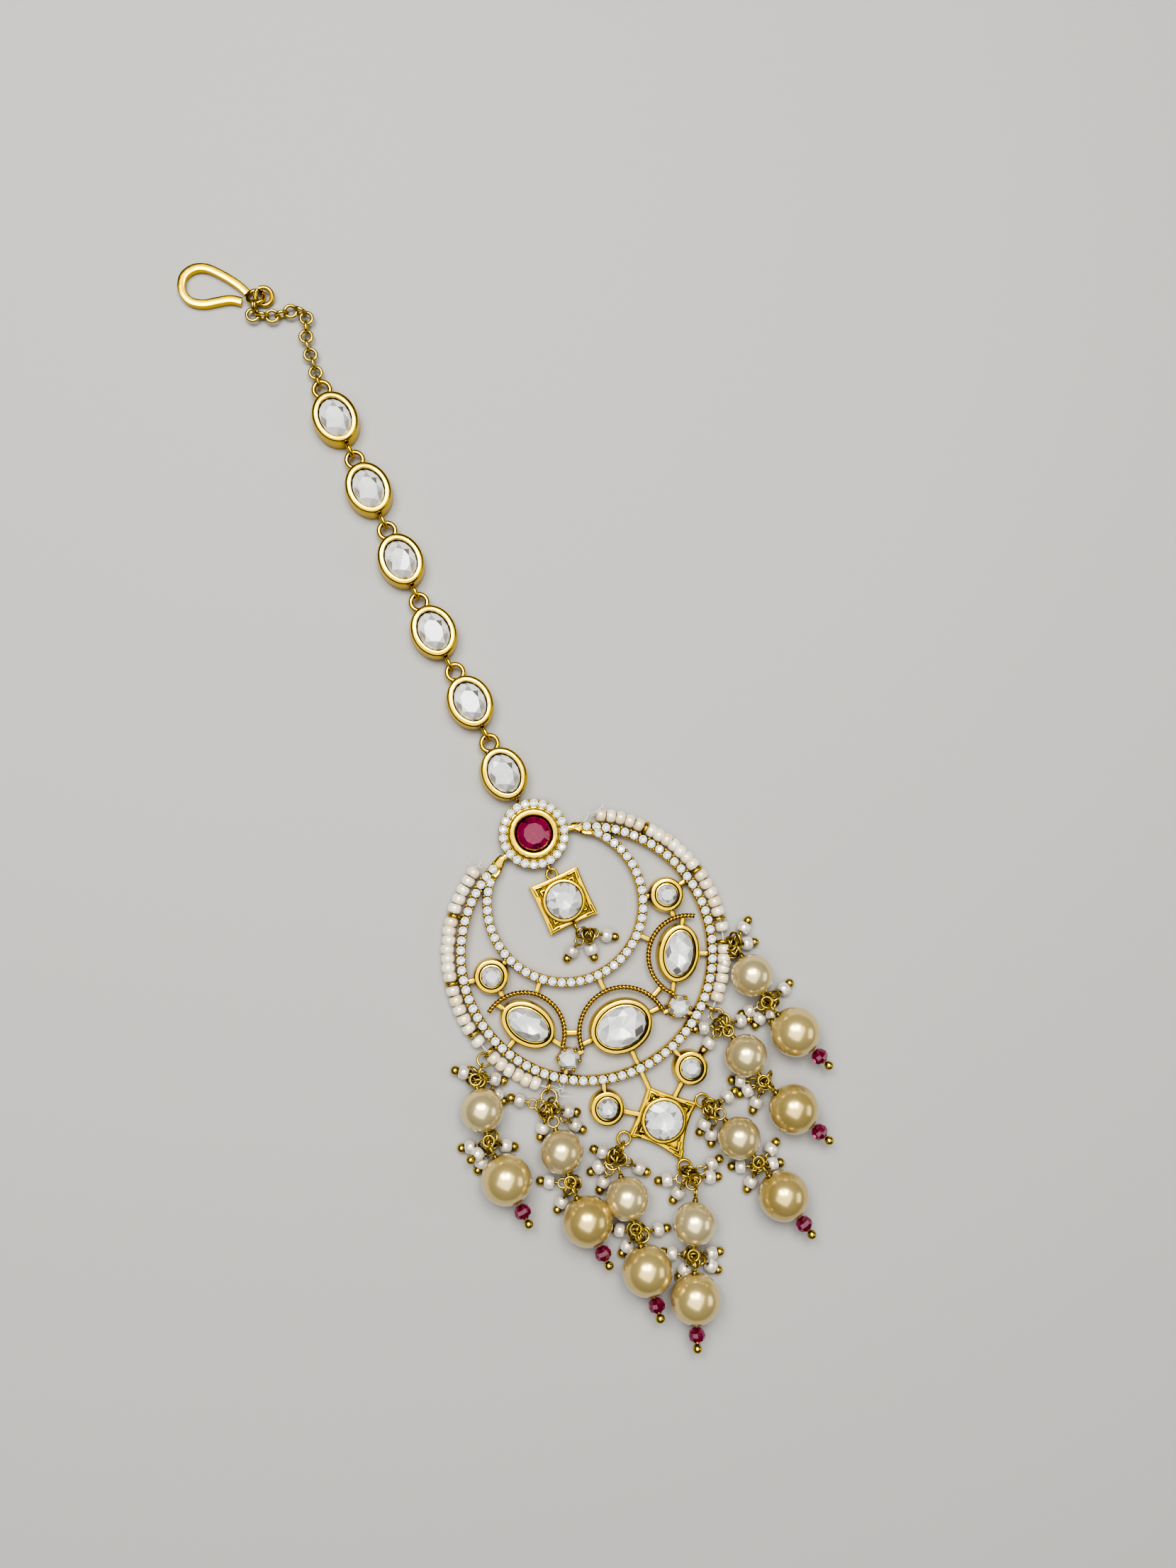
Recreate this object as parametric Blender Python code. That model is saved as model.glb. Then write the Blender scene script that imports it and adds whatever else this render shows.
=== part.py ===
"""A maang tikka: a chain of six stone links, a ruby cluster over a crescent of bezels, a square drop, a star,
and seven tassels of two pearls each. It lies face up on a table. The origin is at the back of the ruby
cluster, on the table; +Y runs up the chain to the hook, -Y down to the tassels, and +Z out of the face."""

from math import asin, atan2, cos, pi, radians, sin, sqrt

import bmesh
import bpy
from mathutils import Vector

for old in list(bpy.data.objects):
    bpy.data.objects.remove(old, do_unlink=True)

# Every size is in millimetres, and each body is turned to metres as it is made
MM = 0.001

# Roundness of the solids
RING_SIDES = 10
WIRE_SIDES = 5
STONE_SIDES = 10
PEARL_SIDES = 12
PEARL_STEPS = 5
HALO_SIDES = 20
OVAL_SIDES = 16
ROUND_SIDES = 12
LINK_SIDES = 16
OUTER_BAND_STEPS = 40
INNER_BAND_STEPS = 30
ROPE_STEPS = 11

# Clearances
STONE_CLEARANCE = 0.12
SOLDER = 0.06
LOOSE = 0.1

# Ruby cluster
RUBY_DIAMETER = 5.0
RUBY_TABLE_HEIGHT = 3.2
RUBY_GIRDLE_HEIGHT = 2.6
HALO_DIAMETER = 9.9
HALO_EDGE_HEIGHT = 1.9
HALO_UNDERSIDE = 1.35
HALO_CORE_DIAMETER = 7.2
RUBY_RIM_DIAMETER = 7.0
RUBY_RIM_HEIGHT = 3.0
RUBY_RIM_LIP = 0.1

# Crescent: two stone bands that meet at the ruby cluster. The pendant's other sizes were measured with an
# outer band of 17.77 and grow with it
OUTER_BAND_RADIUS = 17.77
GROWTH = OUTER_BAND_RADIUS / 17.77
OUTER_BAND_Y = -18.33 * GROWTH
INNER_BAND_RADIUS = 11.01 * GROWTH
INNER_BAND_Y = -10.80 * GROWTH
BAND_WIDTH = 1.5 * GROWTH
BAND_HEIGHT = 1.9
TIP_X = 5.5
TIP_OVERLAP = 0.8
TIP_BAR_WIDTH = 0.9
TIP_BAR_LOW = 0.45
TIP_BAR_HIGH = 1.7
# Where the bar to each tip starts: how far inside the ruby cluster's edge, and its place along +Y
TIP_BAR_INSET = 1.2
TIP_BAR_Y = -1.1

# Bezels: the wall steps in to a raised rim, and the stone sits on a closed back
BEZEL_HEIGHT = 2.6
BEZEL_STEP_HEIGHT = 1.4
BEZEL_WALL = 1.0
BEZEL_BACK = 1.5
STONE_GIRDLE_HEIGHT = 2.1
STONE_TABLE_HEIGHT = 2.8
# A cut stone's back, girdle and table, as shares of its size
STONE_SHARES = (0.9, 1.0, 0.55)
# Where a rim starts and ends, as shares of its wall: a bezel's, a plate collar's and a link's
BEZEL_RIM = (0.5, 0.85)
COLLAR_RIM = (0.35, 0.8)
LINK_RIM_END = 0.8
ROUND_DIAMETER = 5.1 * GROWTH
SIDE_OVAL_LENGTH = 8.5 * GROWTH
SIDE_OVAL_WIDTH = 6.2 * GROWTH
SIDE_OVAL_TURN = 33
BIG_OVAL_LENGTH = 9.4 * GROWTH
BIG_OVAL_WIDTH = 7.7 * GROWTH
ROUND_PLACE = (13.62 * GROWTH, -15.68 * GROWTH)
SIDE_OVAL_PLACE = (11.73 * GROWTH, -23.9 * GROWTH)
BIG_OVAL_PLACE = (0.0, -29.74 * GROWTH)
LOW_ROUND_PLACE = (6.5 * GROWTH, -39.15 * GROWTH)
PRONG_STONE_DIAMETER = 3.05 * GROWTH
PRONG_STONE_PLACE = (8.57 * GROWTH, -30.66 * GROWTH)
PRONG_RADIUS = 0.3
PRONG_HEIGHT = 2.6
PRONG_COUNT = 6

# Twisted wire arcs round the three ovals
ROPE_THICKNESS = 0.56
ROPE_HEIGHT = 1.6
SIDE_ROPE_PLACE = (12.83 * GROWTH, -24.82 * GROWTH)
SIDE_ROPE_RADIUS = 5.72 * GROWTH
SIDE_ROPE_ENDS = (33, -134)
BIG_ROPE_Y = -30.62 * GROWTH
BIG_ROPE_RADIUS = 6.3 * GROWTH
BIG_ROPE_END = 87

# Soldered bars under the bezels
BAR_WIDTH = 0.8
BAR_LOW = 0.3
BAR_HIGH = 1.45

# Star at the foot of the crescent
STAR_Y = -44.04 * GROWTH
STAR_SIDE_REACH = 5.4 * GROWTH
STAR_TOP_REACH = 5.1 * GROWTH
STAR_FOOT_REACH = 6.5 * GROWTH
STAR_WAIST = 3.45 * GROWTH
STAR_PLATE_HEIGHT = 1.3
# A plate's hollow side: how far it stays near its waist, in degrees, and how much wider it is there
HOLLOW_SPREAD = 15
HOLLOW_FLARE = 1.06
STAR_BEZEL_DIAMETER = 7.1 * GROWTH
STAR_BEZEL_WALL = 0.65

# Square drop inside the crescent
DROP_Y = -10.32
DROP_CORNER_REACH = 5.25
DROP_WAIST = 3.3
DROP_PLATE_HEIGHT = 1.3
DROP_BEZEL_DIAMETER = 6.4
DROP_BEZEL_WALL = 0.6
DROP_LINK_RADIUS = 0.75
DROP_LINK_WIRE = 0.4
DROP_EYE_INSET = 0.45
DROP_NECK_WIDTH = 0.5
DROP_FOOT_EYE_INSET = 0.2

# Wire eyes for the bead strings and the tassels: upright round the outer band, flat on the star's corners
EYE_RADIUS = 0.92 * GROWTH
EYE_WIRE = 0.4 * GROWTH
EYE_HEIGHT = 1.14 * GROWTH
STAR_EYE_HEIGHT = 1.0 * GROWTH
STAR_EYE_INSET = 0.24 * GROWTH
STRING_EYE_TURNS = (50, 78, 100.6, 110.2, 139)
TASSEL_EYE_TURNS = (110.2, 139)
STAR_EYES = {
    "star_left": (-90, STAR_SIDE_REACH),
    "star_foot": (180, STAR_FOOT_REACH),
    "star_right": (90, STAR_SIDE_REACH),
}

# Strings of seed beads along the outside of the crescent
STRING_THICKNESS = 1.9 * GROWTH
STRING_START_TURN = 27.5
STRING_STEP = 7
STRING_END_REACH = 1.6 * GROWTH
STRING_NECK = 0.3 * GROWTH
STRING_NECK_INSET = 0.28 * GROWTH
STRING_NECK_REACH = 0.42 * GROWTH
STRING_TASSEL_NECK_REACH = 1.75 * GROWTH
STRING_TAPER = 0.3 * GROWTH
# The strings lie just outside the eyes' centres, clear of the outer band
STRING_CLEAR = STRING_THICKNESS / 2 + LOOSE + SOLDER - EYE_RADIUS

# Stone links: a flared oval setting with a flat loop at its head and an upright ring at its foot
LINK_BASE_LENGTH = 8.0
LINK_BASE_WIDTH = 6.6
LINK_RIM_HEIGHT = 3.0
LINK_FLARE = 0.5
LINK_WALL = 1.0
LINK_BACK = 1.6
LINK_LOOP_RADIUS = 1.25
LINK_LOOP_WIRE = 0.5
LINK_LOOP_REACH = 4.8
LINK_RING_RADIUS = 1.05
LINK_RING_WIRE = 0.5
LINK_RING_REACH = 4.74
LINK_LOOP_HEIGHT = 1.4
LINK_GIRDLE_HEIGHT = 2.3
LINK_PITCH = 11.24
LAST_LINK_Y = 9.47
# How far each link lies off the pendant's axis, from the ruby upwards
LINK_DRIFT = (-0.33, -0.48, -1.05, -1.1, -1.1, -1.22)
HALO_LOOP_RADIUS = 0.8
HALO_LOOP_WIRE = 0.35
HALO_LOOP_HEIGHT = 0.66
HALO_LOOP_REACH = 0.35
HALO_RING_RADIUS = 0.46
# The stem from the lowest link to its small ring
HALO_STEM_LOW = 0.35
HALO_STEM_HIGH = 1.0
HALO_STEM_INSET = 0.6

# Rolo chain and its end rings
CHAIN_RING_RADIUS = 0.86
CHAIN_WIRE = 0.37
CHAIN_HEIGHT = 1.1
# The chain's path over the table, from the first stone link to the hook
CHAIN_ROUTE = (
    (-0.75, 75.0),
    (-0.45, 77.6),
    (0.15, 79.3),
    (0.95, 80.8),
    (0.85, 82.2),
    (-0.7, 82.9),
    (-3.0, 83.1),
)
JUMP_RING_RADIUS = 1.2
JUMP_RING_WIRE = 0.5
CHAIN_END_RING_RADIUS = 0.85
CHAIN_END_RING_WIRE = 0.4

# Hook: one bent strip that ends in a round eye
HOOK_EYE_PLACE = (-4.35, 86.8)
HOOK_EYE_RADIUS = 1.15
HOOK_EYE_WIRE = 0.52
HOOK_EYE_HEIGHT = 0.9
HOOK_EYE_TILT = 19
JUMP_RING_PLACE = (-3.25, 86.45)
CHAIN_END_TURN = -148
HOOK_STRIP_WIDTH = 0.95
HOOK_STRIP_HEIGHT = 1.2
# Where the strip bends, from the eye round to its free tip
HOOK_BENDS = (
    (-5.2, 87.75),
    (-7.2, 91.35),
    (-9.0, 93.35),
    (-10.8, 93.98),
    (-12.6, 93.4),
    (-13.56, 91.6),
    (-13.1, 89.75),
    (-11.5, 88.65),
    (-9.3, 88.2),
    (-7.7, 87.8),
    (-6.45, 86.95),
)

# Tassels
UPPER_PEARL_DIAMETER = 6.0 * GROWTH
LOWER_PEARL_DIAMETER = 7.0 * GROWTH
PEARL_BORE = 0.8 * GROWTH
PIN_WIRE = 0.35 * GROWTH
PIN_EYE_RADIUS = 0.75 * GROWTH
PIN_NECK = 0.3 * GROWTH
PIN_LIFT = 5
PIN_DROOP = 5
CRYSTAL_DIAMETER = 2.4 * GROWTH
CRYSTAL_REACH = 1.5 * GROWTH
CRYSTAL_SIDES = 8
# A faceted bead and a ball: shares of the length and of the radius
CRYSTAL_PROFILE = ((0, 0.45), (0.35, 1), (0.65, 1), (1, 0.45))
BALL_PROFILE = ((0, 0.3), (0.2, 0.8), (0.5, 1), (0.8, 0.8), (1, 0.3))
END_BALL_DIAMETER = 1.3 * GROWTH
END_BALL_REACH = 1.9 * GROWTH
# Each tassel: where it hangs, its rings above the upper pearl and their radius, and how far the rings, the
# upper pearl's pin and the lower pearl's pin are turned from -Y towards +X, in degrees
TASSEL_COLUMNS = ("hangs_from", "rings", "radius", "ring_turn", "upper_turn", "lower_turn")
TASSELS = (
    ("left_side", 2, 0.96, -50, -12, 2),
    ("left_low", 2, 1.09, -15, -9, 1),
    ("star_left", 2, 0.92, -39, -9, -9),
    ("star_foot", 2, 0.82, -3, -28, -22),
    ("star_right", 1, 1.2, 29, 14, 12),
    ("right_low", 2, 0.88, 8, 10, 24),
    ("right_side", 1, 1.0, 32, 3, 21),
)

UP = Vector((0, 0, 1))


def finish(name, colour, metallic, roughness):
    """A plain finish for one object: colour as red, green and blue shares."""
    material = bpy.data.materials.new(name)
    material.use_nodes = True
    shader = material.node_tree.nodes["Principled BSDF"]
    shader.inputs["Base Color"].default_value = (*colour, 1)
    shader.inputs["Metallic"].default_value = metallic
    shader.inputs["Roughness"].default_value = roughness
    return material


GOLD = (0.83, 0.6, 0.18)
AGED_GOLD = (0.55, 0.38, 0.12)
WHITE = (0.85, 0.86, 0.88)
RUBY = (0.5, 0.02, 0.12)
CHAMPAGNE = (0.78, 0.72, 0.62)
HONEY = (0.72, 0.55, 0.3)
CREAM = (0.85, 0.77, 0.66)


def plain(colour, name):
    """The finish of a stone, pearl or bead."""
    return finish(name, colour, 0, 0.2)


def metal(colour, name):
    """The finish of a gold piece."""
    return finish(name, colour, 1, 0.25)


def body_object(body):
    """One closed body, given as points in millimetres and faces, as an object in metres."""
    points, faces = body
    shape = bmesh.new()
    vertices = [shape.verts.new(Vector(point) * MM) for point in points]
    for face in faces:
        shape.faces.new([vertices[i] for i in face])
    bmesh.ops.recalc_face_normals(shape, faces=shape.faces)
    mesh = bpy.data.meshes.new("body")
    shape.to_mesh(mesh)
    shape.free()
    return bpy.data.objects.new("body", mesh)


def solid(name, bodies, material):
    """One named piece: its bodies are soldered into one closed shell."""
    objects = [body_object(body) for body in bodies]
    first, others = objects[0], objects[1:]
    bpy.context.scene.collection.objects.link(first)
    if others:
        tools = bpy.data.collections.new(name + "_bodies")
        bpy.context.scene.collection.children.link(tools)
        for other in others:
            tools.objects.link(other)
        fuse = first.modifiers.new("Fuse", "BOOLEAN")
        fuse.operation = "UNION"
        fuse.solver = "EXACT"
        fuse.operand_type = "COLLECTION"
        fuse.collection = tools
        graph = bpy.context.evaluated_depsgraph_get()
        fused = bpy.data.meshes.new_from_object(first.evaluated_get(graph))
        first.modifiers.clear()
        first.data = fused
        for other in others:
            bpy.data.objects.remove(other, do_unlink=True)
        bpy.data.collections.remove(tools)
    first.name = name
    first.data.name = name
    first.data.materials.clear()
    first.data.materials.append(material)
    first.data.shade_smooth()
    first.data.set_sharp_from_angle(angle=radians(40))
    return first


def skin(rings, closed=False):
    """Rings of points joined side by side, with flat caps at both ends unless they close on themselves."""
    count = len(rings[0])
    points = [point for ring in rings for point in ring]
    faces = []
    for i in range(len(rings) if closed else len(rings) - 1):
        near = i * count
        far = (i + 1) % len(rings) * count
        for j in range(count):
            k = (j + 1) % count
            faces.append((near + j, near + k, far + k, far + j))
    if not closed:
        faces.append(tuple(range(count)))
        faces.append(tuple(range((len(rings) - 1) * count, len(rings) * count)))
    return points, faces


def circle(centre, across, along, radius, sides):
    """Points round a centre, in the plane of two unit directions."""
    turns = [2 * pi * i / sides for i in range(sides)]
    return [centre + (across * cos(turn) + along * sin(turn)) * radius for turn in turns]


def wire_ring(centre, across, along, radius, wire):
    """A closed ring of round wire in the plane of two unit directions."""
    normal = across.cross(along)
    outs = circle(Vector(), across, along, 1, RING_SIDES)
    # The wire's ridge faces inwards, so that two linked rings meet ridge to ridge
    sections = [circle(centre + out * radius, -out, normal, wire / 2, WIRE_SIDES) for out in outs]
    return skin(sections, closed=True)


def rod(start, end, radii, sides=WIRE_SIDES):
    """A turned rod from start to end: radii lists (share of the length, radius)."""
    line = end - start
    across = line.orthogonal().normalized()
    along = line.normalized().cross(across)
    return skin([circle(start + line * share, across, along, radius, sides) for share, radius in radii])


def bar(start, end, width=BAR_WIDTH, low=BAR_LOW, high=BAR_HIGH):
    """A flat soldered bar between two places in plan."""
    start, end = Vector((*start, 0)), Vector((*end, 0))
    side = (end - start).normalized().cross(UP) * width / 2
    ends = []
    for place in (start, end):
        corners = ((side, low), (side, high), (-side, high), (-side, low))
        ends.append([place + offset + UP * height for offset, height in corners])
    return skin(ends)


def on_circle(centre, radius, turn):
    """A place in plan on a circle; turn is in degrees from +Y towards +X."""
    return centre[0] + radius * sin(radians(turn)), centre[1] + radius * cos(radians(turn))


def nearest(place, centre, radius):
    """The place on a circle that is nearest to another place."""
    return on_circle(centre, radius, atan2(place[0] - centre[0], place[1] - centre[1]) * 180 / pi)


def along_to_circle(place, turn, centre, radius):
    """Where a line from a place inside a circle, turned from +Y towards +X, meets the circle."""
    way = Vector(on_circle((0, 0), 1, turn))
    gap = Vector(place) - Vector(centre)
    lean = gap.dot(way)
    reach = -lean + sqrt(lean * lean - gap.length_squared + radius * radius)
    return tuple(Vector(place) + way * reach)


def arc_band(centre, radius, start, end, steps):
    """A flat band with a square section along an arc."""
    sections = []
    for i in range(steps + 1):
        turn = start + (end - start) * i / steps
        inner = Vector((*on_circle(centre, radius - BAND_WIDTH / 2, turn), 0))
        outer = Vector((*on_circle(centre, radius + BAND_WIDTH / 2, turn), 0))
        sections.append([inner, outer, outer + UP * BAND_HEIGHT, inner + UP * BAND_HEIGHT])
    return skin(sections)


def arc_rope(centre, radius, start, end, steps):
    """A round wire along an arc."""
    sections = []
    for i in range(steps + 1):
        turn = start + (end - start) * i / steps
        out = Vector((*on_circle((0, 0), 1, turn), 0))
        middle = Vector((*centre, ROPE_HEIGHT)) + out * radius
        sections.append(circle(middle, out, UP, ROPE_THICKNESS / 2, WIRE_SIDES + 1))
    return skin(sections)


def oval(place, length, width, turn, height, sides):
    """Points round an oval in plan: its length lies along +Y, turned towards +X."""
    lean = radians(turn)
    ring = []
    for i in range(sides):
        step = 2 * pi * i / sides
        across, along = width / 2 * cos(step), length / 2 * sin(step)
        x = place[0] + across * cos(lean) + along * sin(lean)
        y = place[1] - across * sin(lean) + along * cos(lean)
        ring.append(Vector((x, y, height)))
    return ring


def cup(place, length, width, turn, steps, sides):
    """An oval setting: steps lists (inset, height) up the outside, over the rim and down inside."""
    rings = []
    for inset, height in steps:
        rings.append(oval(place, length - 2 * inset, width - 2 * inset, turn, height, sides))
    return skin(rings)


def bezel(place, length, width, turn, sides, wall=BEZEL_WALL, rim=BEZEL_RIM):
    """A stepped bezel: its wall leans in to a flat rim and drops to the stone's back."""
    steps = (
        (0, 0),
        (0, BEZEL_STEP_HEIGHT),
        (wall * rim[0], BEZEL_HEIGHT),
        (wall * rim[1], BEZEL_HEIGHT),
        (wall, BEZEL_BACK),
    )
    return cup(place, length, width, turn, steps, sides)


def cut_stone(place, length, width, turn, heights, sides=STONE_SIDES):
    """A faceted stone with a flat table: heights are those of its back, girdle and table."""
    rings = []
    for share, height in zip(STONE_SHARES, heights):
        rings.append(oval(place, length * share, width * share, turn, height, sides))
    return skin(rings)


def set_stone(name, place, length, width, turn, wall=BEZEL_WALL):
    """The stone of a bezel, clear of its wall and back."""
    inset = 2 * (wall + STONE_CLEARANCE)
    heights = (BEZEL_BACK + STONE_CLEARANCE, STONE_GIRDLE_HEIGHT, STONE_TABLE_HEIGHT)
    stone = cut_stone(place, length - inset, width - inset, turn, heights)
    solid(name, [stone], plain(WHITE, name + "_crystal"))


def eye_place(turn):
    """The centre of an upright eye soldered to the outside of the outer band."""
    reach = OUTER_BAND_RADIUS + BAND_WIDTH / 2 + EYE_RADIUS - SOLDER
    return Vector((*on_circle((0, OUTER_BAND_Y), reach, turn), EYE_HEIGHT))


def outward(turn):
    """A level direction, turned from +Y towards +X."""
    return Vector((*on_circle((0, 0), 1, turn), 0))


def mirrored(place):
    """The same place on the pendant's other side."""
    return -place[0], place[1]


def prong_setting(place):
    """A low round cup with six bead-ended prongs over the stone's edge."""
    reach = PRONG_STONE_DIAMETER / 2 + STONE_CLEARANCE + PRONG_RADIUS
    seat = PRONG_STONE_DIAMETER + 2 * STONE_CLEARANCE
    parts = [cup(place, seat, seat, 0, ((0, 0), (0, BEZEL_STEP_HEIGHT)), 2 * PRONG_COUNT)]
    for i in range(PRONG_COUNT):
        foot = Vector((*on_circle(place, reach, 360 * i / PRONG_COUNT), BAR_LOW))
        parts.append(rod(foot, foot + UP * (PRONG_HEIGHT - BAR_LOW), ((0, PRONG_RADIUS), (1, PRONG_RADIUS))))
        parts.append(bar(place, on_circle(place, reach, 360 * i / PRONG_COUNT), PRONG_RADIUS))
    return parts


def star_outline(place, reaches, waist, first_turn, height):
    """A four-pointed outline with hollow sides, one point a quarter turn from the next."""
    ring = []
    for i, reach in enumerate(reaches):
        turn = first_turn + 90 * i
        ring.append(Vector((*on_circle(place, reach, turn), height)))
        for spread, flare in ((-HOLLOW_SPREAD, HOLLOW_FLARE), (0, 1), (HOLLOW_SPREAD, HOLLOW_FLARE)):
            ring.append(Vector((*on_circle(place, waist * flare, turn + 45 + spread), height)))
    return ring


def star_plate(place, reaches, waist, first_turn, high):
    """A plate with a star outline."""
    return skin([star_outline(place, reaches, waist, first_turn, height) for height in (0, high)])


def plate_bezel(place, diameter, wall):
    """A thin round collar that stands on a star plate."""
    return bezel(place, diameter, diameter, 0, OVAL_SIDES, wall, COLLAR_RIM)


def star_eye(turn, reach):
    """The centre of the flat eye at one point of the star."""
    return Vector((0, STAR_Y, STAR_EYE_HEIGHT)) + outward(turn) * (reach + EYE_RADIUS - STAR_EYE_INSET)


def star_eye_ring(turn, reach):
    """The flat eye at one point of the star."""
    return wire_ring(star_eye(turn, reach), outward(turn), outward(turn + 90), EYE_RADIUS, EYE_WIRE)


def crescent_frame():
    """The soldered gold frame: ruby setting, both bands, bezels, rope arcs, star, bars and eyes."""
    outer, inner = (0, OUTER_BAND_Y), (0, INNER_BAND_Y)
    outer_tip = asin(TIP_X / OUTER_BAND_RADIUS) * 180 / pi
    inner_tip = asin(TIP_X / INNER_BAND_RADIUS) * 180 / pi
    halo = HALO_DIAMETER / 2
    core = halo - HALO_CORE_DIAMETER / 2
    rim = halo - RUBY_RIM_DIAMETER / 2
    seat = halo - RUBY_DIAMETER / 2 - STONE_CLEARANCE
    halo_steps = (
        (core, 0),
        (core, HALO_UNDERSIDE),
        (0, HALO_UNDERSIDE),
        (0, HALO_EDGE_HEIGHT),
        (rim, HALO_EDGE_HEIGHT),
        (rim, RUBY_RIM_HEIGHT),
        (seat - RUBY_RIM_LIP, RUBY_RIM_HEIGHT),
        (seat, HALO_EDGE_HEIGHT),
    )
    bodies = [
        cup((0, 0), HALO_DIAMETER, HALO_DIAMETER, 0, halo_steps, HALO_SIDES),
        arc_band(outer, OUTER_BAND_RADIUS, outer_tip, 360 - outer_tip, OUTER_BAND_STEPS),
        arc_band(inner, INNER_BAND_RADIUS, inner_tip, 360 - inner_tip, INNER_BAND_STEPS),
        bezel(BIG_OVAL_PLACE, BIG_OVAL_WIDTH, BIG_OVAL_LENGTH, 0, OVAL_SIDES),
        arc_rope((0, BIG_ROPE_Y), BIG_ROPE_RADIUS, -BIG_ROPE_END, BIG_ROPE_END, ROPE_STEPS),
        bar((0, INNER_BAND_Y - INNER_BAND_RADIUS), (0, BIG_ROPE_Y + BIG_ROPE_RADIUS - ROPE_THICKNESS / 2)),
        bar(BIG_OVAL_PLACE, (0, STAR_Y)),
        star_plate(
            (0, STAR_Y),
            (STAR_TOP_REACH, STAR_SIDE_REACH, STAR_FOOT_REACH, STAR_SIDE_REACH),
            STAR_WAIST,
            0,
            STAR_PLATE_HEIGHT,
        ),
        plate_bezel((0, STAR_Y), STAR_BEZEL_DIAMETER, STAR_BEZEL_WALL),
        star_eye_ring(180, STAR_FOOT_REACH),
        wire_ring(
            Vector((0, HALO_CORE_DIAMETER / 2 + HALO_LOOP_REACH, HALO_LOOP_HEIGHT)),
            outward(90),
            outward(0),
            HALO_LOOP_RADIUS,
            HALO_LOOP_WIRE,
        ),
        wire_ring(drop_eye(), outward(0), UP, DROP_LINK_RADIUS, DROP_LINK_WIRE),
    ]
    for side in (1, -1):
        bodies += side_bodies(side, outer, inner)
    return bodies


def side_bodies(side, outer, inner):
    """The bodies on one side of the pendant: side is 1 for +X and -1 for -X."""

    def to_side(place):
        return place if side == 1 else mirrored(place)

    round_place = to_side(ROUND_PLACE)
    oval_place = to_side(SIDE_OVAL_PLACE)
    low_place = to_side(LOW_ROUND_PLACE)
    prong_place = to_side(PRONG_STONE_PLACE)
    rope_place = to_side(SIDE_ROPE_PLACE)
    big_rope_place = (0, BIG_ROPE_Y)
    rope_start, rope_end = SIDE_ROPE_ENDS
    lean = side * SIDE_OVAL_TURN
    tip_start = (side * (HALO_DIAMETER / 2 - TIP_BAR_INSET), TIP_BAR_Y)
    tip_end = nearest(to_side((TIP_X + TIP_OVERLAP, 0)), outer, OUTER_BAND_RADIUS)
    rope_gap = Vector(rope_place) - Vector(inner)
    big_rope_gap = Vector(rope_place) - Vector(big_rope_place)
    bodies = [
        bar(tip_start, tip_end, TIP_BAR_WIDTH, TIP_BAR_LOW, TIP_BAR_HIGH),
        bezel(round_place, ROUND_DIAMETER, ROUND_DIAMETER, 0, ROUND_SIDES),
        bezel(oval_place, SIDE_OVAL_LENGTH, SIDE_OVAL_WIDTH, lean, OVAL_SIDES),
        bezel(low_place, ROUND_DIAMETER, ROUND_DIAMETER, 0, ROUND_SIDES),
        arc_rope(rope_place, SIDE_ROPE_RADIUS, side * rope_start, side * rope_end, ROPE_STEPS),
        bar(round_place, nearest(round_place, outer, OUTER_BAND_RADIUS)),
        bar(round_place, nearest(round_place, inner, INNER_BAND_RADIUS)),
        bar(round_place, nearest(round_place, rope_place, SIDE_ROPE_RADIUS)),
        bar(oval_place, nearest(oval_place, outer, OUTER_BAND_RADIUS)),
        bar(oval_place, along_to_circle(oval_place, lean, rope_place, SIDE_ROPE_RADIUS)),
        bar(oval_place, along_to_circle(oval_place, lean + 180, rope_place, SIDE_ROPE_RADIUS)),
        bar(
            tuple(Vector(inner) + rope_gap.normalized() * INNER_BAND_RADIUS),
            tuple(Vector(rope_place) - rope_gap.normalized() * SIDE_ROPE_RADIUS),
        ),
        bar(
            tuple(Vector(big_rope_place) + big_rope_gap.normalized() * BIG_ROPE_RADIUS),
            tuple(Vector(rope_place) - big_rope_gap.normalized() * SIDE_ROPE_RADIUS),
        ),
        bar(BIG_OVAL_PLACE, along_to_circle(BIG_OVAL_PLACE, side * 90, big_rope_place, BIG_ROPE_RADIUS)),
        bar(prong_place, nearest(prong_place, outer, OUTER_BAND_RADIUS)),
        bar(prong_place, nearest(prong_place, big_rope_place, BIG_ROPE_RADIUS)),
        bar(low_place, nearest(low_place, outer, OUTER_BAND_RADIUS)),
        bar(low_place, (0, STAR_Y)),
        star_eye_ring(side * 90, STAR_SIDE_REACH),
    ]
    bodies += prong_setting(prong_place)
    for turn in STRING_EYE_TURNS:
        bodies.append(wire_ring(eye_place(side * turn), outward(side * turn), UP, EYE_RADIUS, EYE_WIRE))
    return bodies


def drop_eye():
    """The centre of the upright eye under the ruby cluster that carries the square drop."""
    return Vector((0, -HALO_DIAMETER / 2 - DROP_LINK_RADIUS + DROP_EYE_INSET, EYE_HEIGHT))


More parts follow.
